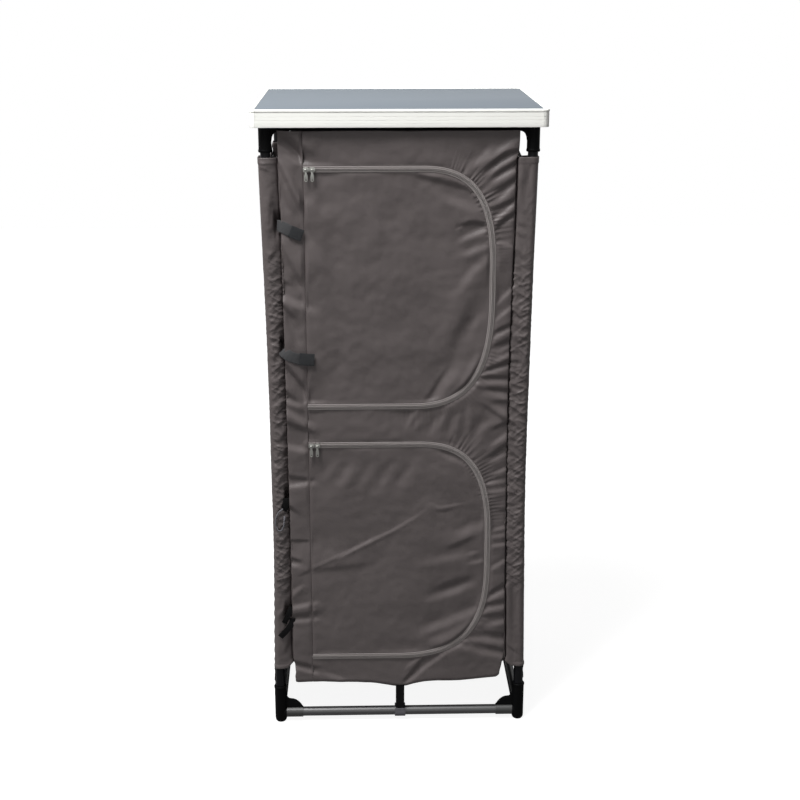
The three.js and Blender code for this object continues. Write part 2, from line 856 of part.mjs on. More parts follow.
function frontLeftStrip() {
  const area = {
    left: -panelEdge,
    bottom: hemHeight - hemDip,
    width: leftStripWidth,
    height: panelTopHeight - hemHeight + hemDip,
  };
  const round = hemCornerRadius * (1 - Math.SQRT1_2);
  const outline = [
    [-panelEdge, hemHeight + hemCornerRadius],
    [round - panelEdge, hemHeight + round],
    ...hemLine(hemCornerRadius - panelEdge, hingeX),
    [hingeX, panelTopHeight],
    [-panelEdge, panelTopHeight],
  ];
  return geometryOf(frontCloth(area, leftStripFoldShares).intersect(throughFront(outline)));
}

function doorCloth(door, foldShares) {
  const area = { left: hingeX, bottom: door.bottom, width: doorWidth, height: doorHeight };
  const inner = throughFront(doorOutline(door, -clothSetBack));
  return geometryOf(frontCloth(area, foldShares).intersect(inner));
}

// One side of a zip: a flat tape on the cloth with the half chain as a bead along its edge
function zipTape(door, side) {
  const line = zipLines.get(door);
  const band = (near, far, thickness, backY) => {
    const outline = [...offsetLine(line, side * near), ...offsetLine(line, side * far).reverse()];
    return extrudeFront(polygon(outline), thickness).translate(0, -backY, 0);
  };
  const flat = band(chainGap, tapeReach, tapeThickness, panelFaceY + fit);
  const bead = band(chainGap, beadReach, tapeThickness + beadRise, panelFaceY + fit);
  return geometryOf(joined(flat, bead));
}

// A post sleeve: cloth folded round the post, flat along the front and the side, closed across the corner
function postSleeve(sx, sy) {
  const outlineAt = (radius, flap) => {
    const points = [[flap, -radius]];
    for (let i = 0; i <= sleeveArcSteps; i += 1) {
      const angle = -Math.PI / 2 - (Math.PI / 2) * (i / sleeveArcSteps);
      points.push([radius * Math.cos(angle), radius * Math.sin(angle)]);
    }
    points.push([-radius, flap]);
    return points.reverse().map(([x, y]) => new THREE.Vector2(x, y));
  };
  const shape = new THREE.Shape(outlineAt(sleeveOuter, sleeveFlap));
  const innerFlap = sleeveFlap - clothThickness * (1 + Math.SQRT2);
  shape.holes.push(new THREE.Path(outlineAt(sleeveInner, innerFlap)));
  return reflected(alongPost(shape, sleeveBottomHeight, sleeveTopHeight, -1), -sx, -sy);
}

// Left and right panels follow the bow of the posts, and their top edges sag between the sleeves
function sidePanel(sx) {
  const levels = levelsBetween(hemHeight, sleeveTopHeight);
  const steps = levels.length - 1;
  const slab = new THREE.BoxGeometry(clothThickness, 2 * sideEdge, steps, 1, sideSwagSteps, steps);
  const position = slab.attributes.position;
  const middleX = sx * (sidePanelBackX + clothThickness / 2);
  for (let i = 0; i < position.count; i += 1) {
    const step = Math.round(position.getZ(i) + steps / 2);
    const y = position.getY(i);
    const swag = step === steps ? sideSwag * (1 - (y / sideEdge) ** 2) : 0;
    const z = levels[step] - swag;
    position.setXYZ(i, middleX + position.getX(i) - sx * bowAt(z), y, z);
  }
  return slab;
}

function backPanel() {
  const panelHeight = panelTopHeight - hemHeight;
  const slab = new THREE.BoxGeometry(2 * panelEdge, clothThickness, panelHeight);
  return slab.translate(0, panelBackY + clothThickness / 2, hemHeight + panelHeight / 2);
}

// A stiffened shelf that reaches all four panels and clears the sleeves with cut corners
function shelf(z, thickness, frontReach) {
  const halfX = sidePanelBackX - fit - bowAt(z);
  const backReach = panelBackY - fit;
  const outline = [
    [shelfCornerCut - halfX, -frontReach],
    [halfX - shelfCornerCut, -frontReach],
    [halfX, shelfCornerCut - frontReach],
    [halfX, backReach - shelfCornerCut],
    [halfX - shelfCornerCut, backReach],
    [shelfCornerCut - halfX, backReach],
    [-halfX, backReach - shelfCornerCut],
    [-halfX, shelfCornerCut - frontReach],
  ];
  return extrudeZ(polygon(outline), thickness).translate(0, 0, z);
}

// Webbing

// A strap strip through [x, out from the cloth face, z] places, its width lying across its run in the front
function tieStrap(places) {
  const positions = [];
  const index = [];
  places.forEach(([x, out, z], i) => {
    const before = places[Math.max(i - 1, 0)];
    const after = places[Math.min(i + 1, places.length - 1)];
    const length = Math.hypot(after[0] - before[0], after[2] - before[2]);
    const acrossX = (-(after[2] - before[2]) / length) * (tieStrapWidth / 2);
    const acrossZ = ((after[0] - before[0]) / length) * (tieStrapWidth / 2);
    const back = -panelFaceY - fit - out;
    const front = back - webbingThickness;
    for (const [side, y] of [[1, back], [-1, back], [-1, front], [1, front]]) {
      positions.push(x + side * acrossX, y, z + side * acrossZ);
    }
  });
  const last = places.length - 1;
  for (let i = 0; i < last; i += 1) {
    for (let k = 0; k < 4; k += 1) {
      const [a, b] = [i * 4 + k, i * 4 + ((k + 1) % 4)];
      index.push(a, a + 4, b, b, a + 4, b + 4);
    }
  }
  index.push(0, 1, 2, 0, 2, 3);
  index.push(last * 4, last * 4 + 2, last * 4 + 1, last * 4, last * 4 + 3, last * 4 + 2);
  const geometry = new THREE.BufferGeometry();
  geometry.setAttribute('position', new THREE.Float32BufferAttribute(positions, 3));
  geometry.setIndex(index);
  return outwardFacing(geometry);
}

// The strap at the middle of the hem runs down behind it, round the bottom bar and up to the floor panel
function bottomStrap() {
  const inner = tubeRadius + fit;
  const outer = inner + webbingThickness;
  const backTop = floorHeight - fit;
  const shape = new THREE.Shape();
  shape.moveTo(-outer, bottomStrapTop - bottomBarHeight);
  shape.lineTo(-outer, 0);
  shape.absarc(0, 0, outer, Math.PI, 2 * Math.PI, false);
  shape.lineTo(outer, backTop - bottomBarHeight);
  shape.lineTo(inner, backTop - bottomBarHeight);
  shape.lineTo(inner, 0);
  shape.absarc(0, 0, inner, 2 * Math.PI, Math.PI, true);
  shape.lineTo(-inner, bottomStrapTop - bottomBarHeight);
  shape.closePath();
  const toX = extrudeX(shape, bottomStrapWidth);
  return toX.translate(-bottomStrapWidth / 2, -postY, bottomBarHeight);
}

// Places along each tie strap: x in shares of the left strip's width from its left edge, z in shares of the
// strip's height from the hem, and 1 where it lies on the strip or 0 where it lies on the sleeve beside it
const tieStrapPlaceShares = {
  tie_strap_1: [[-0.44, 0.847, 0], [-0.3, 0.844, 0], [-0.14, 0.839, 1], [0.84, 0.825, 1]],
  tie_strap_2: [[-0.44, 0.637, 0], [-0.3, 0.633, 0], [-0.14, 0.629, 1], [0.84, 0.612, 1]],
  tie_strap_3: [[-0.25, 0.372, 0], [-0.26, 0.357, 0], [-0.3, 0.336, 0]],
  tie_strap_4: [[-0.26, 0.153, 0], [-0.34, 0.124, 0], [-0.5, 0.086, 0]],
};

function tieStrapPlaces(shares) {
  return shares.map(([x, z, onStrip]) => [
    x * leftStripWidth - panelEdge,
    (onStrip - 1) * (clothThickness + fit),
    THREE.MathUtils.lerp(hemHeight, panelTopHeight, z),
  ]);
}

function buildBody() {
  const body = new THREE.Group();
  for (const { name, sx, sy } of corners) {
    const sleeve = addPart(body, `post_sleeve_${name}`, postSleeve(sx, sy), cloth);
    sleeve.position.set(sx * postX, sy * postY, 0);
  }
  addPart(body, 'front_left_strip', frontLeftStrip(), cloth);
  addPart(body, 'front_panel', frontPanel(), cloth);
  addPart(body, 'left_panel', sidePanel(-1), cloth);
  addPart(body, 'right_panel', sidePanel(1), cloth);
  addPart(body, 'back_panel', backPanel(), cloth);
  const strapClear = postY + tubeRadius;
  addPart(body, 'middle_shelf', shelf(shelfHeight, shelfThickness, panelBackY - fit), cloth);
  addPart(body, 'floor_panel', shelf(floorHeight, floorThickness, strapClear), cloth);
  addPart(body, 'upper_zip_frame_tape', zipTape(upperDoor, 1), tape);
  addPart(body, 'lower_zip_frame_tape', zipTape(lowerDoor, 1), tape);
  addPart(body, 'bottom_strap', bottomStrap(), webbing);
  for (const [name, shares] of Object.entries(tieStrapPlaceShares)) {
    addPart(body, name, tieStrap(tieStrapPlaces(shares)), webbing);
  }
  return body;
}

// Doors

// Slider body with its bridge, at the middle of the slider on the face of the chain
function slider() {
  const [hx, hz] = [sliderLength / 2, sliderHeight / 2];
  const nose = hx * sliderNoseShare;
  const outline = polygon([
    [-hx, -hz * sliderNoseShare], [-nose, -hz], [nose, -hz], [hx, -hz * sliderNoseShare],
    [hx, hz * sliderNoseShare], [nose, hz], [-nose, hz], [-hx, hz * sliderNoseShare],
  ]);
  const plate = extrudeFront(outline, sliderDepth);
  const bridge = new THREE.Shape();
  const foot = bridgeSpan / 2;
  const top = sliderDepth + bridgeRise;
  bridge.moveTo(-foot, 0);
  bridge.lineTo(-foot, top - bridgeThickness);
  bridge.lineTo(bridgeThickness - foot, top);
  bridge.lineTo(foot - bridgeThickness, top);
  bridge.lineTo(foot, top - bridgeThickness);
  bridge.lineTo(foot, 0);
  bridge.lineTo(foot - bridgeThickness, 0);
  bridge.lineTo(foot - bridgeThickness, top - bridgeThickness);
  bridge.lineTo(bridgeThickness - foot, top - bridgeThickness);
  bridge.lineTo(bridgeThickness - foot, 0);
  bridge.closePath();
  const arch = extrudeZ(bridge, bridgeThickness).translate(0, 0, -bridgeThickness / 2);
  arch.rotateX(Math.PI);
  return geometryOf(joined(plate, arch));
}

// Pull plate with an eye round the slider's bridge, drawn from the eye's axis
function pull() {
  const eyeRadius = eyeDiameter / 2;
  const bore = bridgeThickness / 2 * Math.SQRT2 + eyeClearance / 2;
  const eye = extrudeX(ring(eyeRadius, bore, eyeSides), eyeLength).translate(-eyeLength / 2, 0, 0);
  const half = pullWidth / 2;
  const neck = pullNeckWidth / 2;
  const plate = new THREE.Shape();
  plate.moveTo(neck, -(bore + fit));
  plate.lineTo(neck, -pullLength * pullNeckShare);
  plate.lineTo(half, -pullLength * pullShoulderShare);
  plate.lineTo(half, half - pullLength);
  plate.absarc(0, half - pullLength, half, 0, -Math.PI, true);
  plate.lineTo(-half, -pullLength * pullShoulderShare);
  plate.lineTo(-neck, -pullLength * pullNeckShare);
  plate.lineTo(-neck, -(bore + fit));
  plate.closePath();
  const hole = new THREE.Path();
  hole.absarc(0, half - pullLength, pullHoleDiameter / 2, 0, 2 * Math.PI, false);
  plate.holes.push(hole);
  const flat = extrudeZ(plate, pullThickness);
  flat.rotateX(Math.PI / 2).translate(0, pullThickness / 2, 0);
  return geometryOf(joined(eye, flat));
}

const bridgeMiddle = sliderDepth + bridgeRise - bridgeThickness / 2;

function buildDoor(name, door, foldShares) {
  const group = new THREE.Group();
  addPart(group, `${name}_door`, doorCloth(door, foldShares), cloth);
  addPart(group, `${name}_zip_door_tape`, zipTape(door, -1), tape);
  const chainFace = beadFaceY + fit;
  ['left', 'right'].forEach((side, i) => {
    const x = hingeX + sliderLength / 2 + i * sliderPitch;
    const body = addPart(group, `${name}_slider_${side}`, slider(), nickel);
    body.position.set(x, -chainFace, door.top);
    const tab = addPart(group, `${name}_pull_${side}`, pull(), nickel);
    tab.position.set(x, -chainFace - bridgeMiddle, door.top);
  });
  return group;
}

wardrobe.add(buildTabletop());
wardrobe.add(buildFrame());
wardrobe.add(buildBody());
wardrobe.add(buildDoor('upper', upperDoor, upperDoorFoldShares));
wardrobe.add(buildDoor('lower', lowerDoor, lowerDoorFoldShares));

export default wardrobe;
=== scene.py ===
import math

import bmesh
import bpy
import numpy as np
from bpy.props import FloatProperty, FloatVectorProperty, IntProperty, PointerProperty
from bpy.types import Operator, Panel, PropertyGroup
from mathutils import Matrix, Vector, noise


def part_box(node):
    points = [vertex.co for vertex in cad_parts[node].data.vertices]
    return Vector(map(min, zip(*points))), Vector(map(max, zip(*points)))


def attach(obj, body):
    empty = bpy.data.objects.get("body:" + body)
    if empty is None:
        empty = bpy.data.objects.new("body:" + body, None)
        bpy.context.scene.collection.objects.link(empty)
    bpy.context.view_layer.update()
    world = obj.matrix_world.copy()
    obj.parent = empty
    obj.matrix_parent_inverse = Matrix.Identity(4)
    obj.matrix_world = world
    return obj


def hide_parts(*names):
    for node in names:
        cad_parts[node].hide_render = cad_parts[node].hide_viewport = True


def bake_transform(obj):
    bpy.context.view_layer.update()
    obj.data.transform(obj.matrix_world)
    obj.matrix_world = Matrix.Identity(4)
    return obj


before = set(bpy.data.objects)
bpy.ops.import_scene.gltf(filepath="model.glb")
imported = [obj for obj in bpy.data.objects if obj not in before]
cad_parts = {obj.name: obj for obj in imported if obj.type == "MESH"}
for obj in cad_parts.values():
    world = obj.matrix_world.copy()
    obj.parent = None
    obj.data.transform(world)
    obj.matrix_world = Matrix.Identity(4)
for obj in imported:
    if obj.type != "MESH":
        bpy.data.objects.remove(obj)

bl_info = {
    "name": "Camping wardrobe",
    "version": (1, 0, 0),
    "blender": (4, 0, 0),
    "location": "View3D > Sidebar > Wardrobe",
    "description": "Builds the looks of a fabric camping wardrobe round its solid model",
    "category": "Object",
}

MM = 0.001
CORNERS = (("front_left", -1, -1), ("front_right", 1, -1), ("back_left", -1, 1), ("back_right", 1, 1))
PIECES = ("tabletop", "frame", "front", "doors", "zips", "sleeves", "walls", "straps", "stage")
MATERIALS = {}
HEIGHTS = {}

# Where the front cloth lies: its face, its hinge seam and its lowest even row
CLOTH_FACE = -0.2338
HINGE_SEAM = -0.1951
HEM_ROW = 0.104
# From a zip's line to the cut edge of the cloth
SET_BACK = 2.4 * MM

# Folds read off the photograph: half width of a fold's flank and its rise in millimetres, then the pixels
# that the flank runs through. A rise below zero is a flank that turns away from the light.
PANEL_FOLDS = (
    (7, 4.5, (495, 143), (470, 171)),
    (7, 4.0, (515, 139), (500, 150), (487, 159), (478, 166)),
    (4, -3.5, (515, 151), (506, 152.5), (491, 164), (477.5, 176)),
    (5, 3.5, (515, 156), (500, 164), (487, 175), (481, 180)),
    (4, -2.5, (515, 162.5), (502, 170), (486, 181)),
    (5, 3.0, (515, 169), (500, 177.5), (486, 187.5)),
    (5, -2.5, (514, 179), (497, 190), (490, 194)),
    (5, 3.0, (514, 186), (500, 199), (494, 204)),
    (5, -2.5, (514, 199), (500, 207), (492, 212)),
    (4, 2.5, (513, 205), (504, 212.5), (496, 219)),
    (5, -4.0, (512, 215), (504, 220), (497, 226)),
    (4, 2.5, (512, 219), (500, 227)),
    (3, 1.6, (501, 243), (512, 246)),
    (4, 2.0, (509, 292), (500, 301)),
    (4, 2.0, (509, 309), (499, 317)),
    (4, -2.0, (510, 324), (499, 329)),
    (4, 2.2, (509, 330), (497, 336)),
    (4, -2.0, (510, 339), (495, 345)),
    (4, 2.2, (509, 346), (495, 352)),
    (4, 2.2, (509, 354), (492, 362)),
    (4, -3.5, (510, 361), (500, 364), (487, 369)),
    (5, 3.0, (509, 366), (486, 373)),
    (4, -2.5, (509, 377), (485, 376)),
    (5, 2.6, (509, 382), (481, 382)),
    (4, -3.5, (509, 390), (481, 387.5)),
    (8, 4.0, (509, 396), (477, 391)),
    (4, -2.5, (509, 402), (492, 400)),
    (5, 2.6, (509, 414), (495, 406), (487, 405)),
    (4, -2.5, (504, 419), (487, 407), (475, 399)),
    (8, 3.6, (495, 421), (481, 427), (475, 446)),
    (4, -3.5, (509, 422), (500, 425), (490, 430)),
    (5, 2.6, (507, 434), (487, 449)),
    (4, -2.5, (505, 445), (492, 455), (481, 460)),
    (4, 2.0, (506, 454), (487, 464)),
    (4, 2.8, (506, 469), (490, 476)),
    (4, 2.0, (505, 481), (490, 484)),
    (4, 2.0, (505, 490), (491, 492)),
    (4, -2.0, (505, 510), (496, 511)),
    (4, 2.0, (505, 527), (495, 530)),
    (4, 2.0, (505, 535), (495, 536)),
    (4, 2.8, (505, 544), (495, 545)),
    (4, 2.2, (505, 560), (495, 566)),
    (5, -3.5, (504, 584), (492, 591)),
    (5, 2.6, (504, 591), (492, 597)),
    (4, -2.5, (503, 600), (489, 603)),
    (5, 2.8, (504, 606), (488, 609)),
    (4, -2.5, (503, 613), (486, 615)),
    (6, 3.4, (504, 621), (484, 625)),
    (4, -2.5, (503, 633), (478, 632)),
    (6, 3.2, (504, 642), (484, 639), (468, 639)),
    (4, -2.5, (504, 650), (475, 643)),
    (7, 3.4, (504, 656), (482, 652), (462, 645)),
    (4, 3.2, (439, 657), (424, 668), (409, 681)),
    (4, -2.4, (425, 656), (408, 676)),
    (4, 1.8, (420, 656), (402, 671)),
    (5, 2.4, (322, 673), (338, 678)),
    (5, 1.8, (412.5, 414), (405, 430)),
    (5, 1.8, (419.5, 418.6), (413, 431)),
    (5, 2.4, (438, 414), (432, 435)),
    (5, 2.4, (446, 410), (435, 434)),
    (5, 2.4, (454, 415), (450, 437.5)),
    (5, 2.6, (458.6, 412), (452.5, 439)),
    (6, 2.8, (467.5, 404), (467.5, 440)),
)
STRIP_FOLDS = (
    (8, -6.5, (280, 133), (290, 140), (303, 150)),
    (5, 2.0, (279, 144), (289, 150), (299, 158)),
    (5, -3.0, (284, 134), (301, 154)),
    (4, 2.2, (286, 154), (296, 161)),
    (4, -3.0, (281, 169), (291, 191), (299, 207)),
    (5, 2.6, (287, 167), (301, 195)),
    (7, 2.8, (285, 195), (292, 215)),
    (5, -3.5, (283, 250), (299, 279)),
    (6, 3.2, (284, 261), (292, 287)),
    (4, -2.4, (282, 281), (292, 287)),
    (7, 3.0, (283, 298), (303, 307)),
    (4, -2.4, (284, 306), (297, 322)),
    (7, 3.6, (288, 326), (298, 349)),
    (5, -4.0, (286, 365), (303, 386)),
    (7, 3.4, (290, 380), (304, 401)),
    (4, -3.0, (287, 393), (294, 400)),
    (6, 2.6, (288, 402), (303, 406)),
    (6, 3.0, (288, 412), (304, 421)),
    (5, -2.4, (289, 423), (306, 430)),
    (7, 2.6, (289, 447), (306, 450)),
    (5, -1.8, (290, 477), (305, 479)),
    (5, 2.0, (291, 486), (306, 484)),
    (4, -3.5, (290, 507), (299, 514)),
    (3, -1.4, (292, 541), (305, 541)),
    (4, -2.6, (293, 559), (303, 562)),
    (5, 2.2, (292, 565), (302, 566)),
    (5, 2.4, (294, 592), (304, 584)),
    (5, 2.0, (296, 607), (310, 604)),
    (5, -2.0, (296, 615), (311, 613)),
    (5, 2.0, (297, 621), (310, 620)),
    (4, -2.6, (296, 662), (311, 666)),
    (4, 2.4, (297, 668), (311, 672)),
)
UPPER_DOOR_FOLDS = (
    (10, 2.6, (434, 402), (447, 381), (461, 360)),
    (9, 2.4, (448, 402), (461, 384), (474, 362)),
    (5, -1.4, (428, 398), (441, 378), (454, 360)),
    (6, -3.0, (425, 177), (475, 190), (477, 197)),
    (10, 4.0, (439, 194), (475, 210)),
    (4, -3.0, (456, 229), (470, 222), (486, 224)),
    (3, 1.6, (456, 230), (466, 224)),
    (6, 3.0, (485, 230), (467, 237), (454, 246)),
    (7, 3.0, (486, 246), (470, 252), (457, 257)),
    (9, 3.0, (485, 259), (470, 274), (454, 300)),
    (14, -4.0, (477, 291), (467, 314), (454, 342), (441, 370)),
    (8, 2.4, (481, 314), (471, 332)),
    (17, 7.0, (462, 362), (434, 396)),
    (9, -2.4, (315, 200), (321, 216)),
    (9, -2.8, (305, 221), (314, 240), (319, 246)),
    (12, 2.4, (319, 246), (336, 274)),
    (9, -1.8, (335, 222), (345, 240)),
    (10, -2.0, (374, 201), (380, 220), (389, 242)),
    (9, -2.0, (333, 305), (352, 326)),
    (8, -1.8, (338, 350), (349, 368)),
)
LOWER_DOOR_FOLDS = (
    (2.2, 0.55, (302, 571), (331, 558), (362, 545), (393, 530), (419, 514), (431, 504)),
    (2.2, 0.5, (360, 546), (393, 530), (419, 514), (431, 504), (438, 500)),
    (2.2, -0.45, (305, 573), (333, 561), (364, 548), (395, 533), (421, 517), (432, 508)),
    (2.4, 0.8, (424, 506), (431, 503), (440, 507), (460, 504), (474, 502)),
    (2.6, -0.7, (432, 510), (442, 511), (458, 508)),
    (6, 3.0, (446, 455), (466, 464), (475, 479)),
    (10, 2.6, (337, 458), (322, 482)),
    (10, 2.6, (355, 460), (335, 493)),
    (10, 2.4, (376, 460), (355, 497)),
    (10, 2.4, (397, 460), (374, 497)),
    (10, 2.2, (417, 460), (397, 491)),
    (11, 4.0, (480, 527), (465, 531), (450, 539)),
    (5, -2.6, (475, 536), (444, 550)),
    (4, 1.6, (479, 551), (465, 555)),
    (4, 1.6, (484, 560), (465, 564)),
    (9, 2.0, (477, 552), (411, 565)),
    (8, -3.0, (475, 576), (444, 586), (431, 592)),
    (9, 4.0, (477, 581), (456, 591), (421, 602)),
    (10, 5.0, (473, 612), (440, 625), (411, 637)),
    (10, 4.5, (469, 623), (446, 636), (419, 645)),
    (7, -1.6, (310, 571), (384, 563)),
    (3, 1.2, (332, 562), (360, 546), (384, 533)),
)
RIGHT_SLEEVE_FOLDS = (
    (8, -3.0, (527, 165), (525, 190)),
    (5, -2.0, (520, 206), (524, 217)),
    (4, -2.0, (519, 222), (524, 228)),
    (4, -2.2, (519, 233), (524, 240)),
    (4, -2.8, (517, 249), (525, 262)),
    (4, -2.0, (516, 276), (521, 283)),
    (4, -2.6, (514, 290), (524, 302)),
    (4, -2.6, (512, 311), (523, 318)),
    (4, -2.2, (512, 322), (521, 331)),
    (4, -2.2, (511, 335), (521, 345)),
    (3, -1.8, (510, 350), (518, 354)),
    (4, -2.6, (510, 361), (521, 362)),
    (3, -1.8, (510, 371), (518, 376)),
    (4, -2.4, (511, 382), (521, 391)),
    (4, -2.4, (510, 389), (520, 400)),
    (4, -2.4, (510, 405), (519, 415)),
    (4, -2.6, (509, 421), (519, 427)),
    (3, -1.8, (509, 436), (517, 442)),
    (4, -2.6, (509, 451), (520, 460)),
    (4, -2.2, (510, 464), (517, 476)),
    (4, -2.2, (510, 479), (516, 482)),
    (4, -2.4, (509, 492), (516, 496)),
    (4, -2.4, (509, 504), (517, 506)),
    (4, -2.2, (509, 515), (516, 522)),
    (4, -2.2, (507, 525), (516, 530)),
    (4, -2.4, (507, 537), (515, 542)),
    (4, -2.4, (507, 549), (515, 555)),
    (4, -2.4, (507, 562), (514, 566)),
    (7, -2.0, (511, 572), (511, 640)),
    (3, -1.6, (508, 645), (518, 655)),
)
LEFT_SLEEVE_FOLDS = (
    (4, 1.4, (259, 162), (268, 163)),
    (3, -1.4, (259, 168), (268, 172)),
    (5, -2.4, (272, 190), (268, 235)),
    (5, -2.6, (276, 216), (270, 240)),
    (4, -2.2, (276, 250), (268, 262)),
    (4, -2.2, (277, 268), (270, 279)),
    (4, -2.4, (280, 322), (272, 336)),
    (4, -2.4, (281, 345), (274, 360)),
    (4, -2.4, (283, 362), (275, 375)),
    (4, -2.4, (284, 378), (276, 388)),
    (4, -2.4, (284, 392), (277, 402)),
    (4, -2.4, (285, 404), (277, 414)),
    (4, -2.2, (285, 418), (278, 428)),
    (4, -2.2, (286, 432), (279, 444)),
    (4, -2.2, (286, 448), (281, 462)),
    (4, 1.8, (272, 463), (284, 469)),
    (6, -2.8, (284, 470), (281, 488)),
    (4, -2.6, (288, 536), (281, 546)),
    (4, -2.6, (289, 552), (282, 560)),
    (4, -2.6, (290, 558), (283, 568)),
    (4, -2.4, (290, 577), (282, 586)),
    (4, -2.4, (291, 585), (284, 596)),
    (5, -2.6, (288, 600), (280, 622)),
    (4, 1.6, (275, 617), (285, 606)),
    (5, -2.2, (290, 640), (284, 655)),
)


def length_prop(name, description, millimetres):
    return FloatProperty(name=name, description=description, default=millimetres * MM, unit="LENGTH")


def angle_prop(name, description, degrees):
    return FloatProperty(name=name, description=description, default=math.radians(degrees), subtype="ANGLE")


def colour_prop(name, red, green, blue):
    return FloatVectorProperty(
        name=name,
        description=f"Base colour of the {name.lower()}",
        default=(red, green, blue),
        subtype="COLOR",
        min=0,
        max=1,
    )


class WardrobeCloth(PropertyGroup):
    """Sizes of the cloth body's visual meshes"""

    thickness: length_prop("Thickness", "Cloth thickness", 1.0)
    panel_cell: length_prop("Panel cell", "Mesh cell of the front panel", 2.2)
    door_cell: length_prop("Door cell", "Mesh cell of the doors", 2.4)
    plain_cell: length_prop("Plain cell", "Mesh cell of the side and back panels", 6)
    sleeve_cell: length_prop("Sleeve cell", "Mesh cell of the post sleeves", 2.0)
    fold_gain: FloatProperty(name="Fold gain", description="Multiplies the tilt of the folds", default=1.45)


class WardrobeZip(PropertyGroup):
    """Sizes of the zip tapes, teeth and stitches"""

    tape_reach: length_prop("Tape reach", "From the chain to the tape's edge", 6.4)
    tooth_pitch: length_prop("Tooth pitch", "Distance between teeth", 1.7)
    tooth_length: length_prop("Tooth length", "Length of a tooth across the chain", 2.3)
    stitch_pitch: length_prop("Stitch pitch", "Distance between stitches", 4.2)
    stitch_length: length_prop("Stitch length", "Visible length of a stitch", 2.8)
    thread_width: length_prop("Thread width", "Width of the sewing thread", 0.6)


class WardrobeFrame(PropertyGroup):
    """Sizes of the tubes and mouldings"""

    tube_sides: IntProperty(name="Tube sides", description="Sides of a tube", default=40)
    tube_radius: length_prop("Tube radius", "Outer radius of the frame tubes", 10.5)
    bow: length_prop("Bow", "How far the cloth draws a post inwards", 9)
    bow_power: FloatProperty(name="Bow power", description="How flat the bow's ends are", default=1.3)
    edge_round: length_prop("Edge round", "Rounding of moulded edges", 0.6)


class WardrobeColours(PropertyGroup):
    """Base colours of the finishes"""

    cloth: colour_prop("Cloth", 0.0885, 0.0750, 0.0740)
    tape: colour_prop("Zip tape", 0.235, 0.213, 0.207)
    teeth: colour_prop("Zip teeth", 0.185, 0.168, 0.162)
    thread: colour_prop("Thread", 0.16, 0.145, 0.138)
    webbing: colour_prop("Webbing", 0.004, 0.0038, 0.0041)
    pale_webbing: colour_prop("Pale webbing", 0.042, 0.042, 0.044)
    loop_webbing: colour_prop("Loop webbing", 0.12, 0.117, 0.128)
    hook_patch: colour_prop("Hook patch", 0.025, 0.026, 0.028)
    laminate: colour_prop("Laminate", 0.091, 0.112, 0.134)
    rim: colour_prop("Rim", 0.86, 0.86, 0.82)
    moulding: colour_prop("Moulding", 0.0026, 0.0026, 0.0028)
    steel: colour_prop("Steel", 0.0035, 0.0035, 0.0045)
    # Lighter, shinier copy of the steel paint, given to the front bottom bar alone: painted highlight on its
    # lit top, which the key lamp brings out. The other tubes keep the duller steel and stay dark
    front_bar_lit_steel: colour_prop("Front bar steel with painted highlight", 0.006, 0.0056, 0.0068)
    # Lighter, shinier copy of the moulded plastic for the collars over the front sockets: painted highlight
    # that carries the bar's highlight on
    socket: colour_prop("Socket", 0.009, 0.009, 0.0088)
    nickel: colour_prop("Nickel", 0.31, 0.31, 0.29)


class WardrobeStage(PropertyGroup):
    """The camera that the photograph was taken with, and the lights"""

    eye: FloatVectorProperty(
        name="Camera place",
        description="Where the camera stands",
        default=(-0.0717, -3.0569, 1.6566),
        subtype="TRANSLATION",
        unit="LENGTH",
    )
    yaw: angle_prop("Yaw", "Turn towards +X", 1.47)
    pitch: angle_prop("Pitch", "Turn downwards", 17.405)
    focal: FloatProperty(
        name="Focal length", description="Focal length in pixels of an 800 pixel picture", default=1393.1
    )
    picture: FloatProperty(name="Picture", description="Picture width in pixels", default=800.0)
    key_power: FloatProperty(
        name="Key power", description="Power of the key light", default=362.0, unit="POWER"
    )


def camera_axes():
    stage = bpy.context.scene.wardrobe_stage
    ahead = Vector(
        (
            math.sin(stage.yaw) * math.cos(stage.pitch),
            math.cos(stage.yaw) * math.cos(stage.pitch),
            -math.sin(stage.pitch),
        )
    )
    right = Vector((math.cos(stage.yaw), -math.sin(stage.yaw), 0))
    return Vector(stage.eye), right, right.cross(ahead), ahead


def cast(pixel, y):
    """The point of the upright plane at y that a pixel of the photograph shows, as (x, z)."""
    stage = bpy.context.scene.wardrobe_stage
    eye, right, up, ahead = camera_axes()
    middle = stage.picture / 2
    ray = ahead + right * ((pixel[0] - middle) / stage.focal) - up * ((pixel[1] - middle) / stage.focal)
    place = eye + ray * ((y - eye.y) / ray.y)
    return place.x, place.z


# Materials


def new_material(name):
    material = bpy.data.materials.new(name)
    material.use_nodes = True
    return material, material.node_tree, material.node_tree.nodes["Principled BSDF"]


def maths(tree, operation, first, second=None):
    """Result of a Math node on a socket and, where it takes one, a number or another socket."""
    node = tree.nodes.new("ShaderNodeMath")
    node.operation = operation
    tree.links.new(first, node.inputs[0])
    if isinstance(second, bpy.types.NodeSocket):
        tree.links.new(second, node.inputs[1])
    elif second is not None:
        node.inputs[1].default_value = second
    return node.outputs[0]


def speckle(tree, coordinate, scale, detail=2.0):
    """Even noise over a piece, from its own place."""
    spots = tree.nodes.new("ShaderNodeTexNoise")
    spots.inputs["Scale"].default_value = scale
    spots.inputs["Detail"].default_value = detail
    tree.links.new(coordinate, spots.inputs["Vector"])
    return spots.outputs["Fac"]


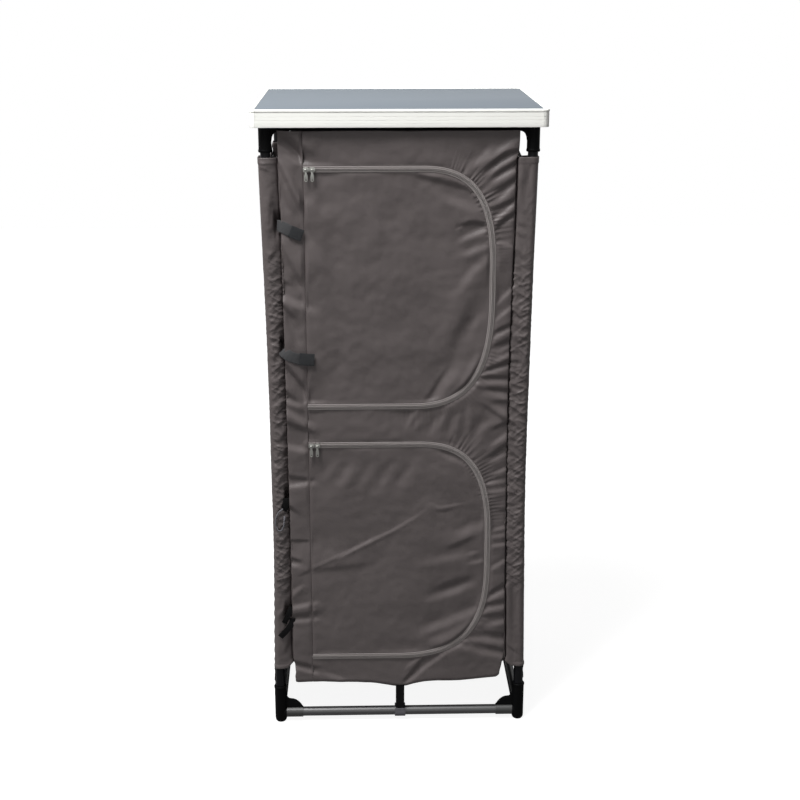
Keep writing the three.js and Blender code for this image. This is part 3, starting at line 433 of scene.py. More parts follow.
def drifting(name, colour, dark, drift, roughness, shine):
    """A material whose base colour drifts between colour and colour times dark, with its coordinate."""
    material, tree, shader = new_material(name)
    shader.inputs["Roughness"].default_value = roughness
    shader.inputs["Specular IOR Level"].default_value = shine
    place = tree.nodes.new("ShaderNodeTexCoord").outputs["Object"]
    mix = tree.nodes.new("ShaderNodeMix")
    mix.data_type = "RGBA"
    mix.inputs[6].default_value = [c * dark for c in colour] + [1]
    mix.inputs[7].default_value = list(colour) + [1]
    tree.links.new(speckle(tree, place, drift, 5), mix.inputs[0])
    tree.links.new(mix.outputs[2], shader.inputs["Base Color"])
    return material, tree, shader, place


def add_bump(tree, shader, height, strength):
    bump = tree.nodes.new("ShaderNodeBump")
    bump.inputs["Strength"].default_value = strength
    bump.inputs["Distance"].default_value = 0.2 * MM
    tree.links.new(height, bump.inputs["Height"])
    tree.links.new(bump.outputs["Normal"], shader.inputs["Normal"])


def woven(name, colour, dark, roughness, pitch, strength, shine=0.25):
    """Woven cloth: threads along the piece's width and height, from its own place."""
    material, tree, shader, place = drifting(name, colour, dark, 9.0, roughness, shine)
    parts = tree.nodes.new("ShaderNodeSeparateXYZ")
    tree.links.new(place, parts.inputs[0])
    waves = []
    for source in (maths(tree, "ADD", parts.outputs[0], parts.outputs[1]), parts.outputs[2]):
        waves.append(maths(tree, "SINE", maths(tree, "MULTIPLY", source, 2 * math.pi / pitch)))
    add_bump(tree, shader, maths(tree, "MULTIPLY", *waves), strength)
    return material


def moulded(name, colour, roughness, dark=0.9, grain=600.0, strength=0.06, shine=0.5):
    """Plastic, paint or metal with a fine grain."""
    material, tree, shader, place = drifting(name, colour, dark, 14.0, roughness, shine)
    add_bump(tree, shader, speckle(tree, place, grain), strength)
    return material


def make_materials():
    base = bpy.context.scene.wardrobe_colours
    made = {
        "cloth": woven("wardrobe_cloth", base.cloth, 0.86, 0.44, 1.1 * MM, 0.3, 0.3),
        "tape": woven("zip_tape", base.tape, 0.9, 0.7, 0.9 * MM, 0.4),
        "teeth": moulded("zip_teeth", base.teeth, 0.5),
        "thread": woven("sewing_thread", base.thread, 0.85, 0.7, 0.6 * MM, 0.2),
        "webbing": woven("webbing", base.webbing, 0.75, 0.8, 1.6 * MM, 0.8, 0.08),
        "pale_webbing": woven("pale_webbing", base.pale_webbing, 0.8, 0.8, 1.6 * MM, 0.8),
        "loop_webbing": woven("loop_webbing", base.loop_webbing, 0.7, 0.8, 1.6 * MM, 0.8),
        "hook_patch": woven("hook_patch", base.hook_patch, 0.8, 0.9, 1.3 * MM, 0.9),
        "laminate": moulded("laminate", base.laminate, 0.45, 0.985, 260.0, 0.02, 0.2),
        "rim": moulded("rim_plastic", base.rim, 0.42, 0.97, 500.0, 0.03, 0.3),
        "moulding": moulded("moulded_plastic", base.moulding, 0.5, 0.7, 700.0, 0.1, 0.04),
        "steel": moulded("painted_steel", base.steel, 0.32, 0.8, 900.0, 0.03, 0.12),
        # The front bottom bar's lighter, shinier copy of the steel paint: painted highlight
        "front_bar_lit_steel": moulded("steel_painted_highlight", base.front_bar_lit_steel, 0.42, 0.8, 900.0, 0.03, 0.95),
        # The collars' lighter, shinier copy of the moulded plastic: painted highlight
        "socket": moulded("socket_painted_highlight", base.socket, 0.45, 0.6, 500.0, 0.5, 0.65),
        "nickel": moulded("nickel", base.nickel, 0.34, 0.85, 300.0, 0.05),
    }
    made["nickel"].node_tree.nodes["Principled BSDF"].inputs["Metallic"].default_value = 0.95
    return made


# Mesh helpers


def new_piece(name, bm, material, body="root"):
    mesh = bpy.data.meshes.new(name)
    bm.normal_update()
    bm.to_mesh(mesh)
    bm.free()
    piece = bpy.data.objects.new(name, mesh)
    bpy.context.scene.collection.objects.link(piece)
    mesh.materials.append(MATERIALS[material])
    mesh.shade_smooth()
    if body:
        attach(piece, body)
    return piece


def crease(piece, degrees):
    """Shades the piece smooth except at edges sharper than the angle."""
    piece.data.set_sharp_from_angle(angle=math.radians(degrees))


def finish_node(name, material, edge_round):
    """Shows a solid of the frame with rounded edges."""
    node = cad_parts[name]
    weld = node.modifiers.new("Weld", "WELD")
    weld.merge_threshold = 0.02 * MM
    round_edges(node, edge_round, 3, 35).harden_normals = True
    node.data.materials.clear()
    node.data.materials.append(MATERIALS[material])
    node.data.shade_smooth()


def round_edges(piece, width, segments, degrees):
    bevel = piece.modifiers.new("Bevel", "BEVEL")
    bevel.width = width
    bevel.segments = segments
    bevel.limit_method = "ANGLE"
    bevel.angle_limit = math.radians(degrees)
    return bevel


def made_of(geometry, kind):
    """The vertices or edges among what an operator made."""
    return [item for item in geometry if isinstance(item, kind)]


def places_of(verts):
    """Places of vertices along X and Z."""
    return np.array([v.co.x for v in verts]), np.array([v.co.z for v in verts])


def walked_along(line):
    """Distance from the start of a polyline to each of its points."""
    return np.concatenate([[0], np.cumsum(np.hypot(*np.diff(line, axis=0).T))])


def grid(columns, rows):
    """A flat grid whose x and y run from 0 to 1."""
    bm = bmesh.new()
    bmesh.ops.create_grid(
        bm, x_segments=columns, y_segments=rows, size=0.5, matrix=Matrix.Translation((0.5, 0.5, 0))
    )
    return bm


def shaped(bm, place):
    """Moves the grid's vertices to place(u, v), which takes and gives numpy arrays."""
    u = np.array([v.co.x for v in bm.verts])
    w = np.array([v.co.y for v in bm.verts])
    x, y, z = place(u, w)
    for vert, px, py, pz in zip(bm.verts, x, y, z):
        vert.co = (px, py, pz)


def thicken(piece, thickness, offset=1.0):
    solidify = piece.modifiers.new("Solidify", "SOLIDIFY")
    solidify.thickness = thickness
    solidify.offset = offset
    solidify.use_rim = True


def swept_tube(bm, path, radius, sides):
    """A round tube through the points of path."""
    points = [Vector(p) for p in path]
    ring = bmesh.ops.create_circle(bm, cap_ends=True, segments=sides, radius=radius)["verts"]
    directions = []
    for i in range(len(points)):
        before, after = points[max(i - 1, 0)], points[min(i + 1, len(points) - 1)]
        directions.append((after - before).normalized())
    turn = directions[0].to_track_quat("Z", "Y")
    for vert in ring:
        vert.co = turn @ vert.co + points[0]
    edges = list({edge for vert in ring for edge in vert.link_edges if edge.other_vert(vert) in ring})
    last_direction = directions[0]
    for i in range(1, len(points)):
        made = bmesh.ops.extrude_edge_only(bm, edges=edges)["geom"]
        verts, edges = made_of(made, bmesh.types.BMVert), made_of(made, bmesh.types.BMEdge)
        bend = last_direction.rotation_difference(directions[i])
        for vert in verts:
            vert.co = bend @ (vert.co - points[i - 1]) + points[i]
        last_direction = directions[i]
    bmesh.ops.contextual_create(bm, geom=edges)
    bmesh.ops.recalc_face_normals(bm, faces=bm.faces)


def arc(middle, radius, start, end, steps):
    angles = [math.radians(start + (end - start) * i / steps) for i in range(steps + 1)]
    return [(middle[0] + radius * math.cos(a), middle[1] + radius * math.sin(a)) for a in angles]


# Tabletop


def rim_section():
    """Outline of the rim as (inset from the outer face, height above its bottom), in metres."""
    lip_round, lip_reach, height, wall, overhang = 1.3, 10.0, 34.0, 3.0, 0.8
    tongue_low, tongue_high, lip_thick = 17.4, 19.6, 1.8
    section = arc((lip_reach - lip_round, height - lip_round), lip_round, 0, 90, 5)
    section += arc((2.0, height - 2.0), 2.0, 90, 180, 8)
    section += arc((1.2, height - 3.9), 1.2, 180, 240, 4)
    for share, groove in ((0.17, 0.45), (0.42, 0.5), (0.63, 0.55), (0.82, 0.5)):
        section += arc((overhang, height * (1 - share)), groove, 90, -90, 6)
    section += arc((overhang + 0.6, -1.0), 0.6, 180, 270, 3)
    section += [(wall, -1.6), (wall, tongue_low), (lip_reach, tongue_low), (lip_reach, tongue_high)]
    section += [(wall, tongue_high), (wall, height - lip_thick), (lip_reach, height - lip_thick)]
    return [(x * MM, z * MM) for x, z in section]


def rim_face(bm, place):
    verts = [bm.verts.new(place(x, z)) for x, z in rim_section()]
    return bm.faces.new(verts)


class WARDROBE_OT_tabletop(Operator):
    """Builds the laminated board, the ribbed rim and its corners"""

    bl_idname = "wardrobe.tabletop"
    bl_label = "Tabletop"

    def execute(self, context):
        finish_node("tabletop_board", "laminate", 0.4 * MM)
        for side in ("front", "right", "back", "left"):
            self.rim(side)
        for name, sx, sy in CORNERS:
            self.corner(name, sx, sy)
        return {"FINISHED"}

    def rim(self, side):
        node = f"tabletop_rim_{side}"
        low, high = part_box(node)
        bm = bmesh.new()
        if side in ("front", "back"):
            edge, turn = (low.y, 1) if side == "front" else (high.y, -1)
            face = rim_face(bm, lambda x, z: (low.x, edge + turn * x, low.z + z))
            along = Vector((high.x - low.x, 0, 0))
        else:
            edge, turn = (low.x, 1) if side == "left" else (high.x, -1)
            face = rim_face(bm, lambda x, z: (edge + turn * x, low.y, low.z + z))
            along = Vector((0, high.y - low.y, 0))
        made = bmesh.ops.extrude_face_region(bm, geom=[face])["geom"]
        bmesh.ops.translate(bm, verts=made_of(made, bmesh.types.BMVert), vec=along)
        bmesh.ops.recalc_face_normals(bm, faces=bm.faces)
        piece = new_piece(f"rim_{side}", bm, "rim", "tabletop")
        crease(piece, 40)
        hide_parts(node)

    def corner(self, name, sx, sy):
        node = f"tabletop_corner_{name}"
        low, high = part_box(node)
        outer = (high.x if sx > 0 else low.x, high.y if sy > 0 else low.y)
        radius = high.x - low.x
        middle = Vector((outer[0] - sx * radius, outer[1] - sy * radius, low.z))
        bm = bmesh.new()
        face = rim_face(bm, lambda x, z: middle + Vector((sx * max(radius - x, 0), 0, z)))
        bmesh.ops.spin(
            bm,
            geom=[face] + list(face.edges) + list(face.verts),
            cent=middle,
            axis=(0, 0, 1),
            angle=sx * sy * math.pi / 2,
            steps=10,
            use_merge=False,
        )
        bmesh.ops.remove_doubles(bm, verts=bm.verts, dist=0.01 * MM)
        bmesh.ops.recalc_face_normals(bm, faces=bm.faces)
        piece = new_piece(f"rim_corner_{name}", bm, "rim", "tabletop")
        crease(piece, 40)
        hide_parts(node)


# Frame


def bow_at(z):
    """How far a post is drawn inwards at height z."""
    sizes = bpy.context.scene.wardrobe_frame
    bottom, top = 0.090, 1.293
    share = np.clip((np.asarray(z, float) - bottom) / (top - bottom), 0, 1)
    return sizes.bow * np.maximum(np.sin(np.pi * share), 0) ** sizes.bow_power


def post_axis(name, sx):
    """Where a post's ends stand, as (x, y)."""
    low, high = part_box(f"post_{name}")
    radius = bpy.context.scene.wardrobe_frame.tube_radius
    return (high.x if sx > 0 else low.x) - sx * radius, (low.y + high.y) / 2


class WARDROBE_OT_frame(Operator):
    """Builds the tubes and rounds the plastic connectors"""

    bl_idname = "wardrobe.frame"
    bl_label = "Frame"

    def execute(self, context):
        sizes = bpy.context.scene.wardrobe_frame
        for name, sx, _ in CORNERS:
            low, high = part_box(f"post_{name}")
            x, y = post_axis(name, sx)
            heights = [low.z + (high.z - low.z) * i / 24 for i in range(25)]
            path = [(x - sx * float(bow_at(z)), y, z) for z in heights]
            self.tube(f"post_tube_{name}", path, f"post_{name}", "steel")
            finish_node(f"foot_{name}", "moulding", sizes.edge_round)
            finish_node(f"top_connector_{name}", "moulding", sizes.edge_round)
        for level in ("top", "bottom"):
            for side in ("front", "back", "left", "right"):
                node = f"{level}_bar_{side}"
                low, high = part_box(node)
                middle = (low + high) / 2
                if side in ("front", "back"):
                    path = [(low.x, middle.y, middle.z), (high.x, middle.y, middle.z)]
                else:
                    path = [(middle.x, low.y, middle.z), (middle.x, high.y, middle.z)]
                # Only the front bottom bar gets the lighter, shinier copy of the tube paint, a painted
                # highlight
                self.tube(f"{node}_tube", path, node, "front_bar_lit_steel" if node == "bottom_bar_front" else "steel")
        self.bar_ends()
        self.rail()
        return {"FINISHED"}

    def bar_ends(self):
        """Collars over the sockets on the front bottom bar, in a lighter, shinier copy of the moulded
        plastic: painted highlight, so that the bar's highlight runs on over the sockets.
        """
        sizes = bpy.context.scene.wardrobe_frame
        outer, inner, radius = 0.2575, 0.2205, 12.3 * MM
        low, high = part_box("bottom_bar_front")
        middle = (low + high) / 2
        for name, sx in (("left", -1), ("right", 1)):
            bm = bmesh.new()
            path = [(sx * outer, middle.y, middle.z), (sx * inner, middle.y, middle.z)]
            swept_tube(bm, path, radius, sizes.tube_sides)
            crease(new_piece(f"bar_end_{name}", bm, "socket"), 50)

    def tube(self, name, path, node, material):
        sizes = bpy.context.scene.wardrobe_frame
        bm = bmesh.new()
        swept_tube(bm, path, sizes.tube_radius, sizes.tube_sides)
        piece = new_piece(name, bm, material)
        crease(piece, 50)
        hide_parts(node)

    def rail(self):
        sizes = bpy.context.scene.wardrobe_frame
        low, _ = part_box("hanging_rail")
        radius = 4 * MM
        bar_low, bar_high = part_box("top_bar_left")
        bar = (bar_low + bar_high) / 2
        hook = sizes.tube_radius + 0.6 * MM + radius
        bend = 14 * MM
        half = arc((bar.x, bar.z), hook, 130, 0, 12)
        half += arc((bar.x + hook + bend, low.z + radius + bend), bend, 180, 270, 10)
        path = [(x, 0, z) for x, z in half] + [(-x, 0, z) for x, z in reversed(half)]
        bm = bmesh.new()
        swept_tube(bm, path, radius, 24)
        piece = new_piece("hanging_rail_tube", bm, "steel")
        crease(piece, 50)
        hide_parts("hanging_rail")


# Cloth front


class Door:
    """Place and D-shaped outline of one door. Its corners are shares of its width and height."""

    left, right, height = -0.195, 0.193, 0.503

    def __init__(self, name, top_corner, bottom_corner):
        self.name = name
        low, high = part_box(f"{name}_door")
        self.middle = (low.z + high.z) / 2
        self.width = self.right - self.left
        self.top = self.middle + self.height / 2
        self.bottom = self.middle - self.height / 2
        self.corners = (self.top, -1, top_corner), (self.bottom, 1, bottom_corner)

    def line(self, steps=24):
        """The zip's line from the hinge along the top, round the curves and back along the bottom."""
        near = 0.3
        points = [(self.left, self.top)]
        for level, way, shares in self.corners:
            across, down = shares[0] * self.width, way * shares[1] * self.height
            curve = [
                Vector((self.right - across, level)),
                Vector((self.right - across * near, level)),
                Vector((self.right, level + down * near)),
                Vector((self.right, level + down)),
            ]
            points += bezier(*(curve if way < 0 else reversed(curve)), steps)
        points.append((self.left, self.bottom))
        return np.array(points)


def bezier(start, first, second, end, steps):
    places = []
    for i in range(steps + 1):
        t = i / steps
        s = 1 - t
        place = start * s**3 + first * 3 * s * s * t + second * 3 * s * t * t + end * t**3
        places.append((place.x, place.y))
    return places


def doors():
    return (
        Door("upper", (0.366, 0.398), (0.418, 0.457)),
        Door("lower", (0.381, 0.418), (0.497, 0.422)),
    )


def to_line(x, z, line):
    """Distance to a polyline, arc length at the nearest point, and the side: positive to its left."""
    best = np.full(x.shape, 1e9)
    at = np.zeros(x.shape)
    side = np.ones(x.shape)
    walked = 0.0
    for (x1, z1), (x2, z2) in zip(line[:-1], line[1:]):
        dx, dz = x2 - x1, z2 - z1
        length = math.hypot(dx, dz)
        if length < 1e-9:
            continue
        along = np.clip(((x - x1) * dx + (z - z1) * dz) / length**2, 0, 1)
        distance = np.hypot(x - x1 - along * dx, z - z1 - along * dz)
        nearer = distance < best
        best = np.where(nearer, distance, best)
        at = np.where(nearer, walked + along * length, at)
        side = np.where(nearer, np.sign((z - z1) * dx - (x - x1) * dz), side)
        walked += length
    return best, at, side


def smooth_step(value, low, high):
    share = np.clip((value - low) / (high - low), 0, 1)
    return share * share * (3 - 2 * share)


def noise_field(x, z, scale, seed):
    return np.array([noise.noise(Vector((px * scale, seed, pz * scale))) for px, pz in zip(x, z)])


def lit_normal(line):
    """Unit normal of a line across the front, on the side that the light comes from."""
    heading = line[-1] - line[0]
    normal = np.array([-heading[1], heading[0]]) / max(np.hypot(*heading), 1e-9)
    return normal if normal @ np.array([-0.35, 0.94]) > 0 else -normal


def held_at(place):
    """True if a place of the front lies close to a seam, an edge or a zip, which holds the cloth."""
    near_seam, near_zip, hem_top = 16 * MM, 18 * MM, 0.118
    x, z = place
    seams = (left_edge(z), Door.left, right_edge(z))
    if min(abs(x - float(seam)) for seam in seams) < near_seam or z < hem_top:
        return True
    spot = np.array([x]), np.array([z])
    return min(to_line(*spot, door.line())[0][0] for door in doors()) < near_zip


def stretched_line(line, start_held, end_held):
    """Carries a fold on past the ends that are held."""
    first, last = line[0] - line[1], line[-1] - line[-2]
    points = list(line)
    if start_held:
        points.insert(0, line[0] + first / np.hypot(*first) * 12 * MM)
    if end_held:
        points.append(line[-1] + last / np.hypot(*last) * 12 * MM)
    return np.array(points)


class HeightMap:
    """Height of a cloth face on an even grid of x and z, in metres."""

    def __init__(self, low, high, cell):
        self.low, self.cell = low, cell
        self.x, self.z = np.meshgrid(np.arange(low[0], high[0], cell), np.arange(low[1], high[1], cell))
        self.slope_x = np.zeros(self.x.shape)
        self.slope_z = np.zeros(self.x.shape)
        self.height = np.zeros(self.x.shape)

    def add_folds(self, folds, plane, gain, held):
        """Tilts the flanks that the tables list towards the light or away from it."""
        for half, height, *pixels in folds:
            line = np.array([cast(pixel, plane) for pixel in pixels])
            normal = lit_normal(line)
            start_held, end_held = held(line[0]), held(line[-1])
            line = stretched_line(line, start_held, end_held)
            reach = half * MM
            low, high = line.min(axis=0) - 2.5 * reach, line.max(axis=0) + 2.5 * reach
            columns = slice(*self.span(low[0], high[0], self.low[0], self.x.shape[1]))
            rows = slice(*self.span(low[1], high[1], self.low[1], self.x.shape[0]))
            distance, at, _ = to_line(self.x[rows, columns], self.z[rows, columns], line)
            share = at / np.hypot(*np.diff(line, axis=0).T).sum()
            taper = np.ones(share.shape) if start_held else smooth_step(share, -0.05, 0.35)
            taper = taper * (1 if end_held else 1 - smooth_step(share, 0.55, 1.0))
            tilt = gain * height / half * taper * np.exp(-((distance / reach) ** 2))
            self.slope_x[rows, columns] -= tilt * normal[0]
            self.slope_z[rows, columns] -= tilt * normal[1]

    def span(self, low, high, start, count):
        first = max(int((low - start) / self.cell), 0)
        return first, max(min(int((high - start) / self.cell) + 2, count), first + 1)

    def solve(self, fade, reach):
        """Finds the height whose slopes come closest, and which settles back over the reach."""
        steepest = 0.9
        rows, columns = self.x.shape
        steepness = np.hypot(self.slope_x, self.slope_z) + 1e-6
        fade = fade * steepest * np.tanh(steepness / steepest) / steepness
        turn_x = 2 * np.pi * np.fft.fftfreq(columns, self.cell)[None, :]
        turn_z = 2 * np.pi * np.fft.fftfreq(rows, self.cell)[:, None]
        spectrum = turn_x * np.fft.fft2(self.slope_x * fade) + turn_z * np.fft.fft2(self.slope_z * fade)
        spectrum = -1j * spectrum / (turn_x**2 + turn_z**2 + reach**-2)
        self.height = np.real(np.fft.ifft2(spectrum))

    def at(self, x, z):
        rows, columns = self.x.shape
        column = np.clip((x - self.low[0]) / self.cell, 0, columns - 1.001)
        row = np.clip((z - self.low[1]) / self.cell, 0, rows - 1.001)
        i, j = row.astype(int), column.astype(int)
        v, u = row - i, column - j
        near = self.height[i, j] * (1 - u) + self.height[i, j + 1] * u
        far = self.height[i + 1, j] * (1 - u) + self.height[i + 1, j + 1] * u
        return near * (1 - v) + far * v


def puckers_at(x, z, line, seed, strength):
    """Small gathers that the stitching draws up on both sides of a zip, strongest round its curves."""
    distance, at, side = to_line(x, z, line)
    total = np.hypot(*np.diff(line, axis=0).T).sum()
    share = at / total
    upper = smooth_step(share, 0.23, 0.30) * (1 - smooth_step(share, 0.38, 0.47))
    lower = smooth_step(share, 0.57, 0.66) * (1 - smooth_step(share, 0.76, 0.84))
    curves = 0.1 + upper + 0.7 * lower
    wobble = noise_field(at, side * 0.01, 30.0, seed)
    phase = at / (9 * MM) + 1.8 * wobble + 0.25 * side
    reach = (12 + 9 * side) * MM
    fade = smooth_step(distance, 5.5 * MM, 9 * MM) * np.exp(-np.maximum(distance - 9 * MM, 0) / reach)
    size = np.minimum(0.3 + 1.5 * np.abs(noise_field(at, side * 0.02, 45.0, seed + 3.0)), 0.9)
    return strength * curves * fade * size * np.cos(2 * np.pi * phase)


def front_height():
    """The whole front's height map, made once for the panel, the strip and both doors."""
    if "front" not in HEIGHTS:
        cloth = bpy.context.scene.wardrobe_cloth
        field = HeightMap((-0.285, 0.05), (0.285, 1.39), 2.0 * MM)
        shares = ((PANEL_FOLDS, 0.9), (STRIP_FOLDS, 1.35), (UPPER_DOOR_FOLDS, 1.1), (LOWER_DOOR_FOLDS, 1.1))
        for folds, share in shares:
            field.add_folds(folds, CLOTH_FACE, share * cloth.fold_gain, held_at)
        fade = np.ones(field.x.shape)
        for door in doors():
            distance, _, _ = to_line(field.x, field.z, door.line())
            fade *= smooth_step(distance, 3 * MM, 8 * MM)
        field.solve(fade, 40 * MM)
        HEIGHTS["front"] = field
    return HEIGHTS["front"]


def relief(x, z):
    """How far the front cloth stands out towards the viewer, in metres."""
    rise = front_height().at(x, z)
    rise += 3.0 * MM * noise_field(x, z, 8.0, 1.0) + 1.6 * MM * noise_field(x, z, 21.0, 2.0)
    rise += 0.6 * MM * noise_field(x, z, 55.0, 3.0)
    fade = np.ones(x.shape)
    puckers = np.zeros(x.shape)
    for index, door in enumerate(doors()):
        line = door.line()
        distance, _, _ = to_line(x, z, line)
        fade *= smooth_step(distance, 4.5 * MM, 15 * MM)
        puckers += puckers_at(x, z, line, 5.0 + index, 1.5 * MM)
    return rise * (0.1 + 0.9 * fade) + puckers


def left_edge(z):
    """The front panel's left edge, which the posts' bow draws in."""
    heights = (0.104, 0.12, 0.131, 0.15, 0.185, 0.45, 0.75, 1.0, 1.165, 1.337)
    places = (-0.2348, -0.2358, -0.2342, -0.2362, -0.2383, -0.2385, -0.2402, -0.2418, -0.242, -0.2462)
    return np.interp(z, heights, places)


def right_edge(z):
    """The front panel's right edge."""
    heights = (0.114, 0.127, 0.145, 0.159, 0.35, 0.49, 0.725, 0.85, 0.985, 1.155, 1.279, 1.290, 1.337)
    places = (0.2262, 0.2295, 0.2322, 0.2368, 0.2330, 0.2320, 0.2303)
    places += (0.2308, 0.2331, 0.2353, 0.2361, 0.2412, 0.2432)
    return np.interp(z, heights, places)


def hem_level(x):
    """Height of the front's lower edge, drawn down by the bottom strap."""
    dip = 12 * MM * np.exp(-((x / (42 * MM)) ** 2))
    corner = np.clip((x - 0.216) / (11 * MM), 0, 1)
    rise = 9.5 * MM * smooth_step(x, 0.1, 0.23) + 6 * MM * corner**2
    return 0.1005 - dip + 1.2 * MM * np.sin(x / (37 * MM)) + rise


class WARDROBE_OT_front(Operator):
    """Builds the front panel and the strip outside the hinge seam"""

    bl_idname = "wardrobe.front"
    bl_label = "Front panel"

    def execute(self, context):
        self.panel()
        self.strip()
        return {"FINISHED"}

    def panel(self):
        cloth = bpy.context.scene.wardrobe_cloth
        _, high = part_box("front_panel")
        columns = round((high.x - HINGE_SEAM) / cloth.panel_cell)
        rows = round((high.z - HEM_ROW) / cloth.panel_cell)
        bm = grid(columns, rows)

        def flat(u, w):
            z = HEM_ROW + w * (high.z - HEM_ROW)
            x = HINGE_SEAM + u * (right_edge(z) - HINGE_SEAM)
            z = hem_level(x) + w * (high.z - hem_level(x))
            return x, np.zeros(x.shape), z

        shaped(bm, flat)
        for door in doors():
            cut_at_zip(bm, door, 1)
        x, z = places_of(bm.verts)
        top = smooth_step(high.z - z, 0, 6 * MM)
        back = 2.2 * MM * np.exp(-((right_edge(z) - x) / (5 * MM))) + turned_hem(x, z)
        stand_out(bm, relief(x, z) * (0.3 + 0.7 * top), back)
        bmesh.ops.recalc_face_normals(bm, faces=bm.faces)
        piece = new_piece("front_cloth", bm, "cloth")
        thicken(piece, cloth.thickness, -1 if facing_out(piece) else 1)
        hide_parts("front_panel")

    def strip(self):
        cloth = bpy.context.scene.wardrobe_cloth
        low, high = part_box("front_left_strip")
        columns = round((HINGE_SEAM - low.x) / (0.7 * cloth.panel_cell))
        rows = round((high.z - HEM_ROW) / (0.8 * cloth.panel_cell))
        bm = grid(columns, rows)

        def flat(u, w):
            z = HEM_ROW + w * (high.z - HEM_ROW)
            x = left_edge(z) + u * (HINGE_SEAM - left_edge(z))
            bottom = hem_level(x) + 14 * MM * np.clip(1 - (x - low.x) / (14 * MM), 0, 1) ** 2
            return x, np.zeros(x.shape), bottom + w * (high.z - bottom)

        shaped(bm, flat)
        x, z = places_of(bm.verts)
        back = 0.7 * MM * np.exp(-((x - left_edge(z)) / (2 * MM))) + turned_hem(x, z)
        back += 0.6 * MM * np.exp(-(((x - HINGE_SEAM) / (2.5 * MM)) ** 2))
        side = smooth_step(HINGE_SEAM - x, 0, 9 * MM)
        stand_out(bm, relief(x, z) * (0.25 + 0.75 * side), back)
        piece = new_piece("left_strip_cloth", bm, "cloth")
        thicken(piece, cloth.thickness, -1 if facing_out(piece) else 1)
        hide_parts("front_left_strip")


def turned_hem(x, z):
    """How far the lowest rows of the front roll back."""
    return 5.5 * MM * np.exp(-(((z - hem_level(x)) / (4.5 * MM)) ** 2))


def stand_out(bm, rise, back):
    """Sets how far each vertex stands before and behind the front cloth's face."""
    for vert, y in zip(bm.verts, CLOTH_FACE - rise + back):
        vert.co.y = y


def facing_out(piece):
    """True if the piece's faces mostly look towards -Y."""
    normals = np.empty(len(piece.data.polygons) * 3)
    piece.data.polygons.foreach_get("normal", normals)
    return normals.reshape(-1, 3)[:, 1].mean() < 0


def cut_at_zip(bm, door, way):
    """Cuts the cloth along a zip. way is 1 to keep what lies outside it and -1 to keep the door."""
    x, z = places_of(bm.verts)
    distance, _, side = to_line(x, z, door.line())
    beyond = (z > door.top) | (z < door.bottom) | (x > door.right)
    signed = way * np.where((side < 0) & ~beyond, -distance, distance)
    bm.verts.index_update()
    doomed = [f for f in bm.faces if all(signed[v.index] < SET_BACK for v in f.verts)]
    bmesh.ops.delete(bm, geom=doomed, context="FACES")
    snap_to_line(bm, door, way * SET_BACK)


def snap_to_line(bm, door, offset):
    """Draws the vertices of the open edge near a zip on to the line that runs beside it."""
    line = door.line(48)
    edge = [v for v in bm.verts if v.is_boundary and v.co.x > door.left + 1 * MM]
    distance, at, _ = to_line(*places_of(edge), line)
    walked = walked_along(line)
    for vert, gap, place in zip(edge, distance, at):
        if gap > 8 * MM:
            continue
        index = min(int(np.searchsorted(walked, place, side="right")) - 1, len(line) - 2)
        start, end = line[index], line[index + 1]
        along = (end - start) / max(np.hypot(*(end - start)), 1e-9)
        foot = start + along * (place - walked[index])
        vert.co.x, vert.co.z = foot[0] - along[1] * offset, foot[1] + along[0] * offset


class WARDROBE_OT_doors(Operator):
    """Builds the two cloth doors, which swing on the stitched seam"""

    bl_idname = "wardrobe.doors"
    bl_label = "Doors"

    def execute(self, context):
        for door in doors():
            self.door(door)
        return {"FINISHED"}

    def door(self, door):
        cloth = bpy.context.scene.wardrobe_cloth
        bm = grid(round(door.width / cloth.door_cell), round(door.height / cloth.door_cell))

        def flat(u, w):
            return door.left + u * door.width, np.zeros(u.shape), door.bottom + w * door.height

        shaped(bm, flat)
        cut_at_zip(bm, door, -1)
        x, z = places_of(bm.verts)
        seam = smooth_step(x - door.left, 0, 7 * MM)
        stand_out(bm, relief(x, z) * (0.1 + 0.9 * seam), 0.3 * MM * (1 - seam))
        piece = new_piece(f"{door.name}_door_cloth", bm, "cloth", body=None)
        thicken(piece, cloth.thickness, -1 if facing_out(piece) else 1)
        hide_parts(f"{door.name}_door")
        blend_door(piece)


def blend_door(piece):
    """Bakes the piece's placement into its mesh."""
    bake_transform(piece)


# Zips


def even_points(line, pitch):
    """Points every pitch along a polyline, with the direction at each."""
    walked = walked_along(line)
    count = max(int(walked[-1] / pitch), 2)
    at = np.linspace(0, walked[-1], count + 1)
    x = np.interp(at, walked, line[:, 0])
    z = np.interp(at, walked, line[:, 1])
    dx, dz = np.gradient(x), np.gradient(z)
    length = np.hypot(dx, dz)
    return np.column_stack([x, z]), np.column_stack([dx / length, dz / length])


def ribbon(bm, line, profile):
    """Carries a profile of (outwards from the line, out from the cloth) points along a line of the front."""
    points, along = even_points(line, 5 * MM)
    outward = np.column_stack([-along[:, 1], along[:, 0]])

    def place(i, across, rise):
        spot = points[i] + outward[i] * across
        return Vector((spot[0], CLOTH_FACE - rise, spot[1]))

    ring = [bm.verts.new(place(0, a, r)) for a, r in profile]
    face = bm.faces.new(ring)
    edges = list(face.edges)
    order = {vert: k for k, vert in enumerate(ring)}
    for i in range(1, len(points)):
        made = bmesh.ops.extrude_edge_only(bm, edges=edges)["geom"]
        verts, edges = made_of(made, bmesh.types.BMVert), made_of(made, bmesh.types.BMEdge)
        fresh = {}
        for vert in verts:
            for edge in vert.link_edges:
                other = edge.other_vert(vert)
                if other in order:
                    fresh[vert] = order[other]
        for vert, k in fresh.items():
            vert.co = place(i, *profile[k])
        order = fresh
    bmesh.ops.contextual_create(bm, geom=edges)
    bmesh.ops.recalc_face_normals(bm, faces=bm.faces)


